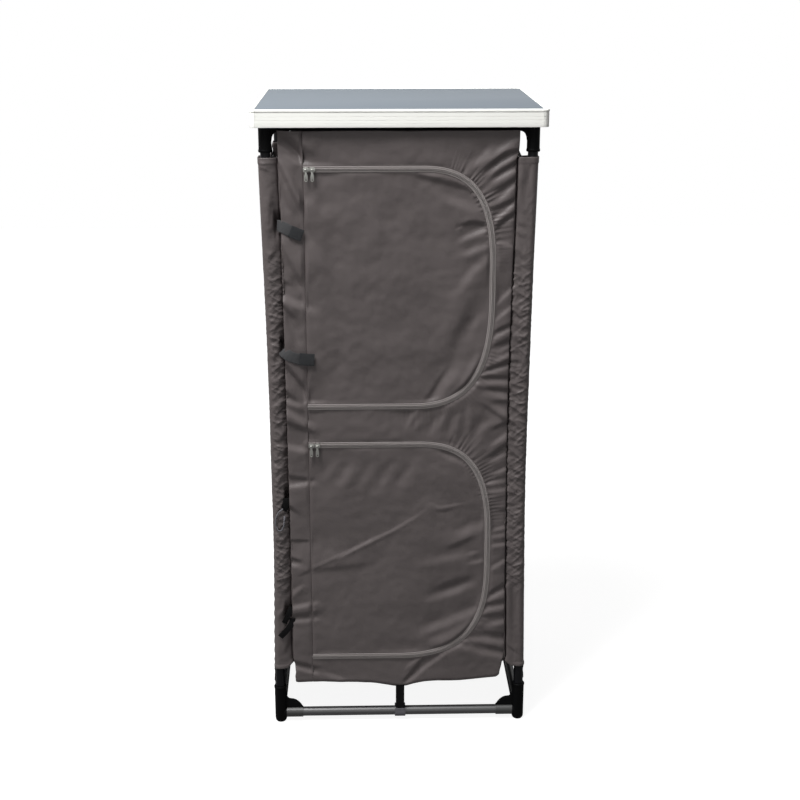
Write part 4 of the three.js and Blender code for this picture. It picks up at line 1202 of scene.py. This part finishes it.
class WARDROBE_OT_zips(Operator):
    """Builds the zip tapes, teeth and stitches, and finishes the sliders and pulls"""

    bl_idname = "wardrobe.zips"
    bl_label = "Zips"

    def execute(self, context):
        for door in doors():
            self.tapes(door)
            for part in ("slider_left", "slider_right", "pull_left", "pull_right"):
                finish_node(f"{door.name}_{part}", "nickel", 0.35 * MM)
        return {"FINISHED"}

    def tapes(self, door):
        line = door.line(32)
        reach = bpy.context.scene.wardrobe_zip.tape_reach / MM
        profile = [(0.4, 0.4), (reach, 0.4), (reach, 0.8), (reach - 0.5, 1.2), (reach - 2.2, 1.25)]
        profile += [(reach - 2.6, 1.0), (2.8, 1.1), (2.2, 1.4), (0.4, 1.4)]
        for kind, way in (("frame", 1), ("door", -1)):
            bm = bmesh.new()
            ribbon(bm, line, [(way * across * MM, rise * MM) for across, rise in profile])
            node = f"{door.name}_zip_{kind}_tape"
            piece = new_piece(f"{node}_cloth", bm, "tape", "root" if kind == "frame" else None)
            crease(piece, 40)
            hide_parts(node)
            teeth = self.teeth(door, kind, way, line)
            stitches = self.stitches(door, kind, way, line)
            if kind == "door":
                for part in (piece, teeth, stitches):
                    blend_door(part)

    def teeth(self, door, kind, way, line):
        zips = bpy.context.scene.wardrobe_zip
        bm = bmesh.new()
        across = zips.tooth_length / 2 + 0.1 * MM
        shift = 0.5 * zips.tooth_pitch if way < 0 else 0
        size = Matrix.Diagonal((0.62 * zips.tooth_pitch, 1.0 * MM, zips.tooth_length, 1))
        for point, step in zip(*even_points(line, zips.tooth_pitch)):
            place = self.beside(point + step * shift, step, way * across, 1.8 * MM)
            bmesh.ops.create_cube(bm, size=1, matrix=place @ size)
        bmesh.ops.bevel(
            bm,
            geom=list(bm.edges),
            affect="EDGES",
            offset=0.2 * MM,
            segments=1,
            profile=0.5,
            material=-1,
        )
        body = "root" if kind == "frame" else None
        return new_piece(f"{door.name}_zip_{kind}_teeth", bm, "teeth", body)

    def stitches(self, door, kind, way, line):
        """A row on the tape's edge and a row on the cloth beside it."""
        zips = bpy.context.scene.wardrobe_zip
        points, along = even_points(line, zips.stitch_pitch)
        bm = bmesh.new()
        size = Matrix.Diagonal((zips.stitch_length / 2, 0.25 * MM, zips.thread_width / 2, 1))
        for across, rise in ((zips.tape_reach - 1.4 * MM, 1.3 * MM), (zips.tape_reach + 2.6 * MM, 0.4 * MM)):
            for point, step in zip(points[1:-1], along[1:-1]):
                place = self.beside(point, step, way * across, rise)
                bmesh.ops.create_icosphere(bm, subdivisions=1, radius=1, matrix=place @ size)
        body = "root" if kind == "frame" else None
        return new_piece(f"{door.name}_zip_{kind}_stitches", bm, "thread", body)

    def beside(self, point, step, across, rise):
        """A place outwards from a zip's line and out from the cloth, turned to run along the line."""
        x, z = point[0] - step[1] * across, point[1] + step[0] * across
        turn = Matrix.Rotation(-math.atan2(step[1], step[0]), 4, "Y")
        return Matrix.Translation((x, CLOTH_FACE - rise, z)) @ turn


# Sleeves, side and back panels


# Heights of the gaps between left sleeve and strip, where the tie straps are sewn on, with their reach
SLACK_PLACES = ((1.150, 0.020), (0.893, 0.014), (0.548, 0.022), (0.272, 0.018))
# A sleeve's radius round its post and the width of its flap along the panel, in millimetres
SLEEVE_RADIUS, SLEEVE_FLAP = 11.8, 31.5


def sleeve_outline(slack):
    """Closed outline round a post as (across, back) from its axis, from the inner corner round the outside.

    across runs inwards along the panel and back runs along the side panel. The seam with the panel lies in a
    narrow groove. A slack sleeve falls back towards it, and a tight one runs straight across."""
    radius, flap = SLEEVE_RADIUS, SLEEVE_FLAP
    front = [(flap, -radius + 1.5), (flap + 0.4, 5), (flap - 1.6, 9), (flap - 3.4, 6)]
    if slack:
        front += [(flap - 4.2, 1), (flap - 5.2, -3.4), (23, -6.2), (17, -8.6), (11, -10.4), (5.5, -11.4)]
    else:
        front += [(flap - 3.8, -1), (flap - 4.2, -radius + 2.5), (flap - 5.8, -radius + 0.8)]
        front += [(20.5, -radius + 0.4), (13, -radius + 0.9), (6.5, -radius + 0.3)]
    outside = arc((0, 0), radius, -80, -190, 16)
    side = [(-radius, 6), (-radius + 0.6, 14), (-radius + 0.4, 22), (-radius, flap)]
    back = [(-2, flap - 9), (10, 15), (flap - 7, 12)]
    return [(x * MM, y * MM) for x, y in front + outside + side + back]


def along_outline(outline, u):
    """Point of a closed outline at share u of its length."""
    points = np.array(outline + [outline[0]])
    walked = walked_along(points)
    at = u * walked[-1]
    return np.interp(at, walked, points[:, 0]), np.interp(at, walked, points[:, 1]), walked[-1]


class WARDROBE_OT_sleeves(Operator):
    """Builds the cloth sleeves on the four posts"""

    bl_idname = "wardrobe.sleeves"
    bl_label = "Sleeves"

    def execute(self, context):
        for name, sx, sy in CORNERS:
            self.sleeve(name, sx, sy)
        return {"FINISHED"}

    def sleeve(self, name, sx, sy):
        cloth = bpy.context.scene.wardrobe_cloth
        node = f"post_sleeve_{name}"
        low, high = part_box(node)
        outline = sleeve_outline(name == "front_left")
        _, _, around = along_outline(outline, np.zeros(1))
        cell = cloth.sleeve_cell if sy < 0 else 2 * cloth.sleeve_cell
        bm = grid(round(around / cell), round((high.z - low.z) / cell))
        post_x, post_y = post_axis(name, sx)
        clear = 11.4 * MM
        seed = 10.0 + CORNERS.index((name, sx, sy))
        folds = {"front_left": LEFT_SLEEVE_FOLDS, "front_right": RIGHT_SLEEVE_FOLDS}.get(name, ())
        sides = sorted((sx * 0.3, sx * 0.23))
        field = HeightMap((sides[0], low.z - 20 * MM), (sides[1], high.z + 20 * MM), MM)
        field.add_folds(folds, low.y, 1.2 * cloth.fold_gain, lambda place: False)
        field.solve(1.0, 20 * MM)

        def place(u, w):
            across, back, _ = along_outline(outline, u)
            # A front sleeve's lower end rises towards its flap, and a rear one's upper end is cut lower
            raised = 12 * MM * smooth_step(across, 13 * MM, 28 * MM) if sy < 0 else 0
            bottom, top = low.z + raised, high.z - (20 * MM if sy > 0 else 0)
            z = bottom + w * (top - bottom)
            # The flap ends at the front panel's edge
            edge = left_edge(z) if sx < 0 else right_edge(z)
            flap = np.abs(post_x - edge) - bow_at(z) + 0.6 * MM
            inner = 12 * MM
            reach = np.where(across > inner, (flap - inner) / (SLEEVE_FLAP * MM - inner), 1)
            across = np.where(across > inner, inner + (across - inner) * reach, across)
            # The outer side is drawn in, and the left sleeve falls back where the tie straps are sewn on
            if name == "front_left":
                wide = 3.6 * MM * smooth_step(z, 0.34, 0.66)
                slack = sum(np.exp(-(((z - level) / reach) ** 2)) for level, reach in SLACK_PLACES)
                back = back + 17 * MM * slack * smooth_step(across, 10 * MM, 16 * MM)
            else:
                wide = 1.6 * MM * np.exp(-(((z - 0.83) / 0.2) ** 2))
            across = across - wide * smooth_step(-across, -4 * MM, 8 * MM)
            # Turned bands at both ends
            hem = 1.3 * (1 - smooth_step(z, bottom + 7 * MM, bottom + 8.5 * MM))
            hem += 1.0 * smooth_step(z, top - 14 * MM, top - 12.5 * MM)
            outward = np.hypot(across, back)
            grow = 1 + (self.crumple(across, back, z, seed) + hem * MM) / np.maximum(outward, 8 * MM)
            across, back = across * grow, back * grow
            x = post_x - sx * (across + bow_at(z))
            facing = smooth_step(-back, 0, 7 * MM)
            y = post_y - sy * back + sy * facing * field.at(x, z)
            # The cloth stays clear of the tube
            axis = post_x - sx * bow_at(z)
            off = np.hypot(x - axis, y - post_y)
            push = np.maximum(clear / np.maximum(off, MM), 1)
            return axis + (x - axis) * push, post_y + (y - post_y) * push, z

        shaped(bm, place)
        bmesh.ops.remove_doubles(bm, verts=bm.verts, dist=0.0002)
        bmesh.ops.recalc_face_normals(bm, faces=bm.faces)
        piece = new_piece(f"sleeve_{name}", bm, "cloth")
        thicken(piece, cloth.thickness, -1)
        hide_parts(node)

    def crumple(self, across, back, z, seed):
        """Crinkles: thin diagonal ridges that cross where the cloth is slack, none near the ends."""
        slack = smooth_step(z, 0.30, 0.36) * (1 - smooth_step(z, 1.0, 1.12))
        around = across - back
        ripples = np.zeros(z.shape)
        for index, lean in enumerate((0.8, -0.8)):
            spread = noise_field(z + lean * around, 0.3 * (around - lean * z), 62.0, seed + index)
            ripples = ripples + np.maximum(1 - 3.4 * np.abs(spread), 0) ** 1.5
        fine = noise_field(around, z, 90.0, seed + 4)
        inward = 0.2 + 0.8 * smooth_step(across, -10 * MM, -3 * MM)
        strength = 0.12 + 0.88 * slack
        return (2.0 * MM * strength * ripples + 0.5 * MM * fine - 0.3 * MM) * inward


# How far from its seams a settling panel is held
SEWN = 12 * MM


def settle(piece, held, frames=24):
    """Lets a thin panel sag under its own weight between its sewn rows, then keeps that shape."""
    group = piece.vertex_groups.new(name="sewn")
    group.add([v.index for v in piece.data.vertices if held(v.co)], 1.0, "REPLACE")
    modifier = piece.modifiers.new("Settle", "CLOTH")
    cloth = modifier.settings
    cloth.vertex_group_mass = "sewn"
    cloth.quality = 5
    cloth.mass = 0.15
    cloth.tension_stiffness = 20
    cloth.compression_stiffness = 12
    cloth.shear_stiffness = 5
    cloth.bending_stiffness = 1.5
    cloth.shrink_min = -0.012
    modifier.collision_settings.use_collision = False
    modifier.point_cache.frame_start = 1
    modifier.point_cache.frame_end = frames
    scene = bpy.context.scene
    for number in range(1, frames + 1):
        scene.frame_set(number)
    settled = piece.evaluated_get(bpy.context.evaluated_depsgraph_get()).data
    places = np.empty(len(settled.vertices) * 3)
    settled.vertices.foreach_get("co", places)
    piece.modifiers.remove(modifier)
    piece.vertex_groups.clear()
    piece.data.vertices.foreach_set("co", places)
    piece.data.update()
    scene.frame_set(1)


class WARDROBE_OT_walls(Operator):
    """Builds the side panels, the back panel, the shelf and the floor"""

    bl_idname = "wardrobe.walls"
    bl_label = "Walls and shelves"

    def execute(self, context):
        for name, sx in (("left", -1), ("right", 1)):
            self.side(name, sx)
        self.back()
        for node in ("middle_shelf", "floor_panel"):
            self.shelf(node)
        return {"FINISHED"}

    def side(self, name, sx):
        cloth = bpy.context.scene.wardrobe_cloth
        node = f"{name}_panel"
        low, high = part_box(node)
        columns = round((high.y - low.y) / cloth.plain_cell)
        rows = round((high.z - low.z) / cloth.plain_cell)
        bm = grid(columns, rows)
        tuck, swag, slant, hem, outside = 6 * MM, 36 * MM, 22 * MM, 27 * MM, 0.2842

        def place(u, w):
            y = low.y - tuck + u * (high.y - low.y + 2 * tuck)
            bottom = low.z - hem
            top = high.z - swag * (1 - (2 * u - 1) ** 2) - slant * smooth_step(u, 0.55, 1)
            z = bottom + w * (top - bottom)
            rise = 2.2 * MM * noise_field(y, z, 7.0, 20.0 + sx)
            rise += 1.0 * MM * noise_field(y, z, 24.0, 24.0)
            from_edge = 0.5 - np.abs(u - 0.5)
            gathers = np.exp(-from_edge * 16) * np.sin(z * 2 * np.pi / (23 * MM))
            rise = rise * np.minimum(1, from_edge * 12) + 0.8 * MM * gathers
            return sx * (outside - bow_at(z) + rise), y, z

        shaped(bm, place)
        piece = new_piece(f"{name}_side_cloth", bm, "cloth")
        settle(piece, lambda co: min(co.y - low.y, high.y - co.y) < SEWN)
        thicken(piece, cloth.thickness, 0)
        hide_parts(node)

    def back(self):
        cloth = bpy.context.scene.wardrobe_cloth
        low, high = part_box("back_panel")
        columns = round((high.x - low.x) / cloth.plain_cell)
        rows = round((high.z - low.z) / cloth.plain_cell)
        bm = grid(columns, rows)

        def place(u, w):
            x = low.x + u * (high.x - low.x)
            z = low.z + w * (high.z - low.z)
            rise = 2.4 * MM * noise_field(x, z, 6.0, 31.0)
            rise += 1.0 * MM * noise_field(x, z, 22.0, 32.0)
            rise *= np.minimum(1, (0.5 - np.abs(u - 0.5)) * 12)
            return x, (low.y + high.y) / 2 + rise, z

        shaped(bm, place)
        piece = new_piece("back_cloth", bm, "cloth")
        settle(piece, lambda co: min(co.x - low.x, high.x - co.x, high.z - co.z) < SEWN)
        thicken(piece, cloth.thickness, 0)
        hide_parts("back_panel")

    def shelf(self, node):
        low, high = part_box(node)
        side_gap, front_gap, back_gap, cut, droop = 5 * MM, 9 * MM, 8 * MM, 46 * MM, 3 * MM
        low += Vector((side_gap, front_gap, 0))
        high -= Vector((side_gap, back_gap, 0))
        bm = grid(60, 50)

        def place(u, w):
            x = low.x + u * (high.x - low.x)
            y = low.y + w * (high.y - low.y)
            sag = droop * np.sin(np.pi * u) * np.sin(np.pi * w)
            return x, y, (low.z + high.z) / 2 - sag + 0.6 * MM * noise_field(x, y, 12.0, 40.0)

        shaped(bm, place)
        for sx in (-1, 1):
            for sy in (-1, 1):
                corner = Vector((high.x if sx > 0 else low.x, high.y if sy > 0 else low.y, 0))
                bmesh.ops.bisect_plane(
                    bm,
                    geom=list(bm.verts) + list(bm.edges) + list(bm.faces),
                    plane_co=corner - Vector((sx * cut, 0, 0)),
                    plane_no=(sx, sy, 0),
                    clear_outer=True,
                )
        piece = new_piece(f"{node}_cloth", bm, "cloth")
        thicken(piece, (high.z - low.z) * 0.7, 0)
        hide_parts(node)


# Straps


# The tie straps' bands: the solid that each stands for, its material, its half width in millimetres and how
# far its start, middle and end stand in front of the cloth in millimetres, then the pixels along it
STRAP_BANDS = {
    "tie_band_1": (
        ("tie_strap_1", "pale_webbing", 11.8, (-9, 2.0, 3.4)),
        ((277, 225.5), (282, 227), (290, 231), (301, 235.5)),
    ),
    "tie_patch_1": (
        ("tie_strap_1", "hook_patch", 12.2, (4.6, 5.0, 4.4)),
        ((290, 231), (296, 233.5), (302.4, 236)),
    ),
    "tie_band_2": (
        ("tie_strap_2", "pale_webbing", 11.6, (-4, 4.8, 4.6)),
        ((282.5, 350), (286, 354), (294, 358), (312, 360)),
    ),
    "tie_patch_2": (
        ("tie_strap_2", "hook_patch", 13.2, (6.2, 6.6, 6.0)),
        ((299, 359), (306, 359.7), (314.5, 360)),
    ),
    "tie_band_3": (
        ("tie_strap_3", "webbing", 7.6, (-3, -1, -4)),
        ((286.6, 498), (286, 504), (283.4, 510)),
    ),
    "tie_band_4": (
        ("tie_strap_4", "webbing", 6.0, (-3, 1.0, -3)),
        ((292, 607), (288.4, 615), (284.3, 623)),
    ),
    "tie_tail_4": (
        ("tie_strap_4", "webbing", 6.6, (-3, 2.6, 1.4)),
        ((292.6, 618), (289.6, 627), (285.4, 632), (280.4, 637)),
    ),
}
# The sewn loop that hangs from the third tie strap
STRAP_LOOP = (
    (283, 509),
    (279, 512),
    (275.8, 518),
    (275.4, 525),
    (278, 531),
    (281.6, 530.6),
    (284, 526),
    (284.6, 516),
)


class WARDROBE_OT_straps(Operator):
    """Builds the tie straps at the left and the strap round the front bottom bar"""

    bl_idname = "wardrobe.straps"
    bl_label = "Straps"

    def execute(self, context):
        for name, ((node, material, half, depths), pixels) in STRAP_BANDS.items():
            shares = np.linspace(0, 2, len(pixels))
            places = []
            for pixel, depth in zip(pixels, np.interp(shares, (0, 1, 2), depths)):
                y = CLOTH_FACE - (0.7 + depth) * MM
                x, z = cast(pixel, y)
                places.append((x, y, z))
            self.band(name, np.array(places), half * MM, None, material, node)
        self.loop()
        self.bar_strap()
        return {"FINISHED"}

    def loop(self):
        y = CLOTH_FACE - 2.7 * MM
        bm = bmesh.new()
        swept_tube(bm, [(x, y, z) for x, z in (cast(pixel, y) for pixel in STRAP_LOOP)], 1.7 * MM, 8)
        new_piece("tie_loop_3", bm, "loop_webbing")

    def bar_strap(self):
        """The strap hangs from the hem, runs round the bar under a sewn loop and goes up to the floor."""
        low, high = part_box("bottom_bar_front")
        middle = (low + high) / 2
        _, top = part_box("bottom_strap")
        across, shift, hem_end = Vector((1, 0, 0)), 1.2 * MM, 0.112
        reach = bpy.context.scene.wardrobe_frame.tube_radius + 1.1 * MM
        run = [(middle.y - reach, hem_end)] + arc((middle.y, middle.z), reach, 180, 360, 16)
        run += [(middle.y + reach, top.z - 0.5 * MM)]
        places = np.array([(shift, y, z) for y, z in run])
        self.band("bar_strap", places, 9.4 * MM, across, "webbing", "bottom_strap")
        reach += 1.3 * MM
        loop_top = middle.z + 11.5 * MM
        run = [(middle.y - reach, loop_top)] + arc((middle.y, middle.z), reach, 180, 360, 20)
        run += [(middle.y + reach, loop_top)]
        places = np.array([(shift, y, z) for y, z in run])
        self.band("bar_loop", places, 12.0 * MM, across, "loop_webbing", "bottom_strap")

    def band(self, name, places, half, across, material, node):
        """A flat band along places, its width along across, or in the front's plane where that is None."""
        walked = np.concatenate([[0], np.cumsum(np.sqrt((np.diff(places, axis=0) ** 2).sum(axis=1)))])
        if across is None:
            at = np.linspace(0, walked[-1], 9)
            degree = min(len(places) - 1, 3)
            smooth = [np.polyval(np.polyfit(walked, places[:, k], degree), at) for k in range(3)]
            places, walked = np.column_stack(smooth), at
            run = np.gradient(places, axis=0)
            length = np.hypot(run[:, 0], run[:, 2])
            sideways = np.column_stack([-run[:, 2] / length, np.zeros(len(run)), run[:, 0] / length])
        else:
            sideways = np.tile(np.array(across), (len(places), 1))
        steps = max(round(walked[-1] / (1.6 * MM)), 8)
        bm = grid(steps, 8)

        def place(u, w):
            at = u * walked[-1]
            spot = [np.interp(at, walked, places[:, k]) for k in range(3)]
            turn = [np.interp(at, walked, sideways[:, k]) for k in range(3)]
            offset = (2 * w - 1) * half
            bulge = 0.5 * MM * (1 - (2 * w - 1) ** 2) if across is None else 0
            return [spot[k] + turn[k] * offset - (bulge if k == 1 else 0) for k in range(3)]

        shaped(bm, place)
        piece = new_piece(name, bm, material)
        thicken(piece, 1.1 * MM, 0)
        round_edges(piece, 0.3 * MM, 2, 50)
        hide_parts(node)


class WARDROBE_OT_stage(Operator):
    """Builds the floor, the lights, the world and the camera"""

    bl_idname = "wardrobe.stage"
    bl_label = "Stage"

    def execute(self, context):
        self.floor()
        self.world()
        self.lights()
        self.camera()
        bpy.context.scene.view_settings.view_transform = "Standard"
        return {"FINISHED"}

    def floor(self):
        bm = bmesh.new()
        bmesh.ops.create_grid(bm, x_segments=1, y_segments=1, size=6)
        mesh = bpy.data.meshes.new("floor")
        bm.to_mesh(mesh)
        bm.free()
        floor = bpy.data.objects.new("floor", mesh)
        bpy.context.scene.collection.objects.link(floor)
        material, tree, shader = new_material("floor_pale")
        shader.inputs["Roughness"].default_value = 0.8
        shader.inputs["Base Color"].default_value = (0.26, 0.26, 0.26, 1)
        shader.inputs["Emission Color"].default_value = (1, 1, 1, 1)
        path = tree.nodes.new("ShaderNodeLightPath")
        glow = maths(tree, "MULTIPLY", path.outputs["Is Camera Ray"], 0.9)
        tree.links.new(glow, shader.inputs["Emission Strength"])
        mesh.materials.append(material)

    def world(self):
        world = bpy.data.worlds.new("studio")
        world.use_nodes = True
        tree = world.node_tree
        seen = tree.nodes["Background"]
        seen.inputs["Color"].default_value = (1, 1, 1, 1)
        seen.inputs["Strength"].default_value = 1.0
        lit = tree.nodes.new("ShaderNodeBackground")
        lit.inputs["Color"].default_value = (1, 1, 1, 1)
        lit.inputs["Strength"].default_value = 0.14
        path = tree.nodes.new("ShaderNodeLightPath")
        mix = tree.nodes.new("ShaderNodeMixShader")
        either = path.outputs["Is Camera Ray"]
        for ray in ("Is Glossy Ray", "Is Transmission Ray"):
            either = maths(tree, "ADD", either, path.outputs[ray])
            either.node.use_clamp = True
        tree.links.new(either, mix.inputs[0])
        tree.links.new(lit.outputs[0], mix.inputs[1])
        tree.links.new(seen.outputs[0], mix.inputs[2])
        tree.links.new(mix.outputs[0], tree.nodes["World Output"].inputs["Surface"])
        bpy.context.scene.world = world

    def light(self, name, place, aim, size, power):
        data = bpy.data.lights.new(name, "AREA")
        data.shape = "SQUARE"
        data.size = size
        data.energy = power
        lamp = bpy.data.objects.new(name, data)
        lamp.location = place
        lamp.rotation_euler = (Vector(aim) - Vector(place)).to_track_quat("-Z", "Y").to_euler()
        bpy.context.scene.collection.objects.link(lamp)

    def lights(self):
        power = bpy.context.scene.wardrobe_stage.key_power
        self.light("key", (-1.55, -1.52, 4.6), (0, 0, 0.8), 1.8, power)
        self.light("fill", (-0.8, -3.6, 1.4), (0, 0, 0.6), 2.4, 0.022 * power)

    def camera(self):
        stage = bpy.context.scene.wardrobe_stage
        data = bpy.data.cameras.new("photo_camera")
        sensor = 36
        data.sensor_width = sensor
        data.lens = sensor * stage.focal / stage.picture
        data.dof.use_dof = False
        camera = bpy.data.objects.new("photo_camera", data)
        camera.location = stage.eye
        camera.rotation_euler = (math.pi / 2 - stage.pitch, 0, -stage.yaw)
        bpy.context.scene.collection.objects.link(camera)
        bpy.context.scene.camera = camera


GROUPS = {
    "wardrobe_cloth": WardrobeCloth,
    "wardrobe_zip": WardrobeZip,
    "wardrobe_frame": WardrobeFrame,
    "wardrobe_colours": WardrobeColours,
    "wardrobe_stage": WardrobeStage,
}


class WARDROBE_PT_panel(Panel):
    """Lists the wardrobe's sizes, colours and building steps"""

    bl_idname = "WARDROBE_PT_panel"
    bl_label = "Wardrobe"
    bl_space_type = "VIEW_3D"
    bl_region_type = "UI"
    bl_category = "Wardrobe"

    def draw(self, context):
        for name in GROUPS:
            group = getattr(context.scene, name)
            column = self.layout.column(align=True)
            for size in group.bl_rna.properties.keys():
                if size not in ("rna_type", "name"):
                    column.prop(group, size)
        for piece in PIECES:
            self.layout.operator(f"wardrobe.{piece}")


CLASSES = (
    *GROUPS.values(),
    WARDROBE_OT_tabletop,
    WARDROBE_OT_frame,
    WARDROBE_OT_front,
    WARDROBE_OT_doors,
    WARDROBE_OT_zips,
    WARDROBE_OT_sleeves,
    WARDROBE_OT_walls,
    WARDROBE_OT_straps,
    WARDROBE_OT_stage,
    WARDROBE_PT_panel,
)


def register():
    for cls in CLASSES:
        bpy.utils.register_class(cls)
    for name, group in GROUPS.items():
        setattr(bpy.types.Scene, name, PointerProperty(type=group))


def unregister():
    for name in GROUPS:
        delattr(bpy.types.Scene, name)
    for cls in reversed(CLASSES):
        bpy.utils.unregister_class(cls)


def main():
    register()
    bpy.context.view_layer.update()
    MATERIALS.update(make_materials())
    for piece in PIECES:
        getattr(bpy.ops.wardrobe, piece)()


if __name__ == "__main__":
    main()
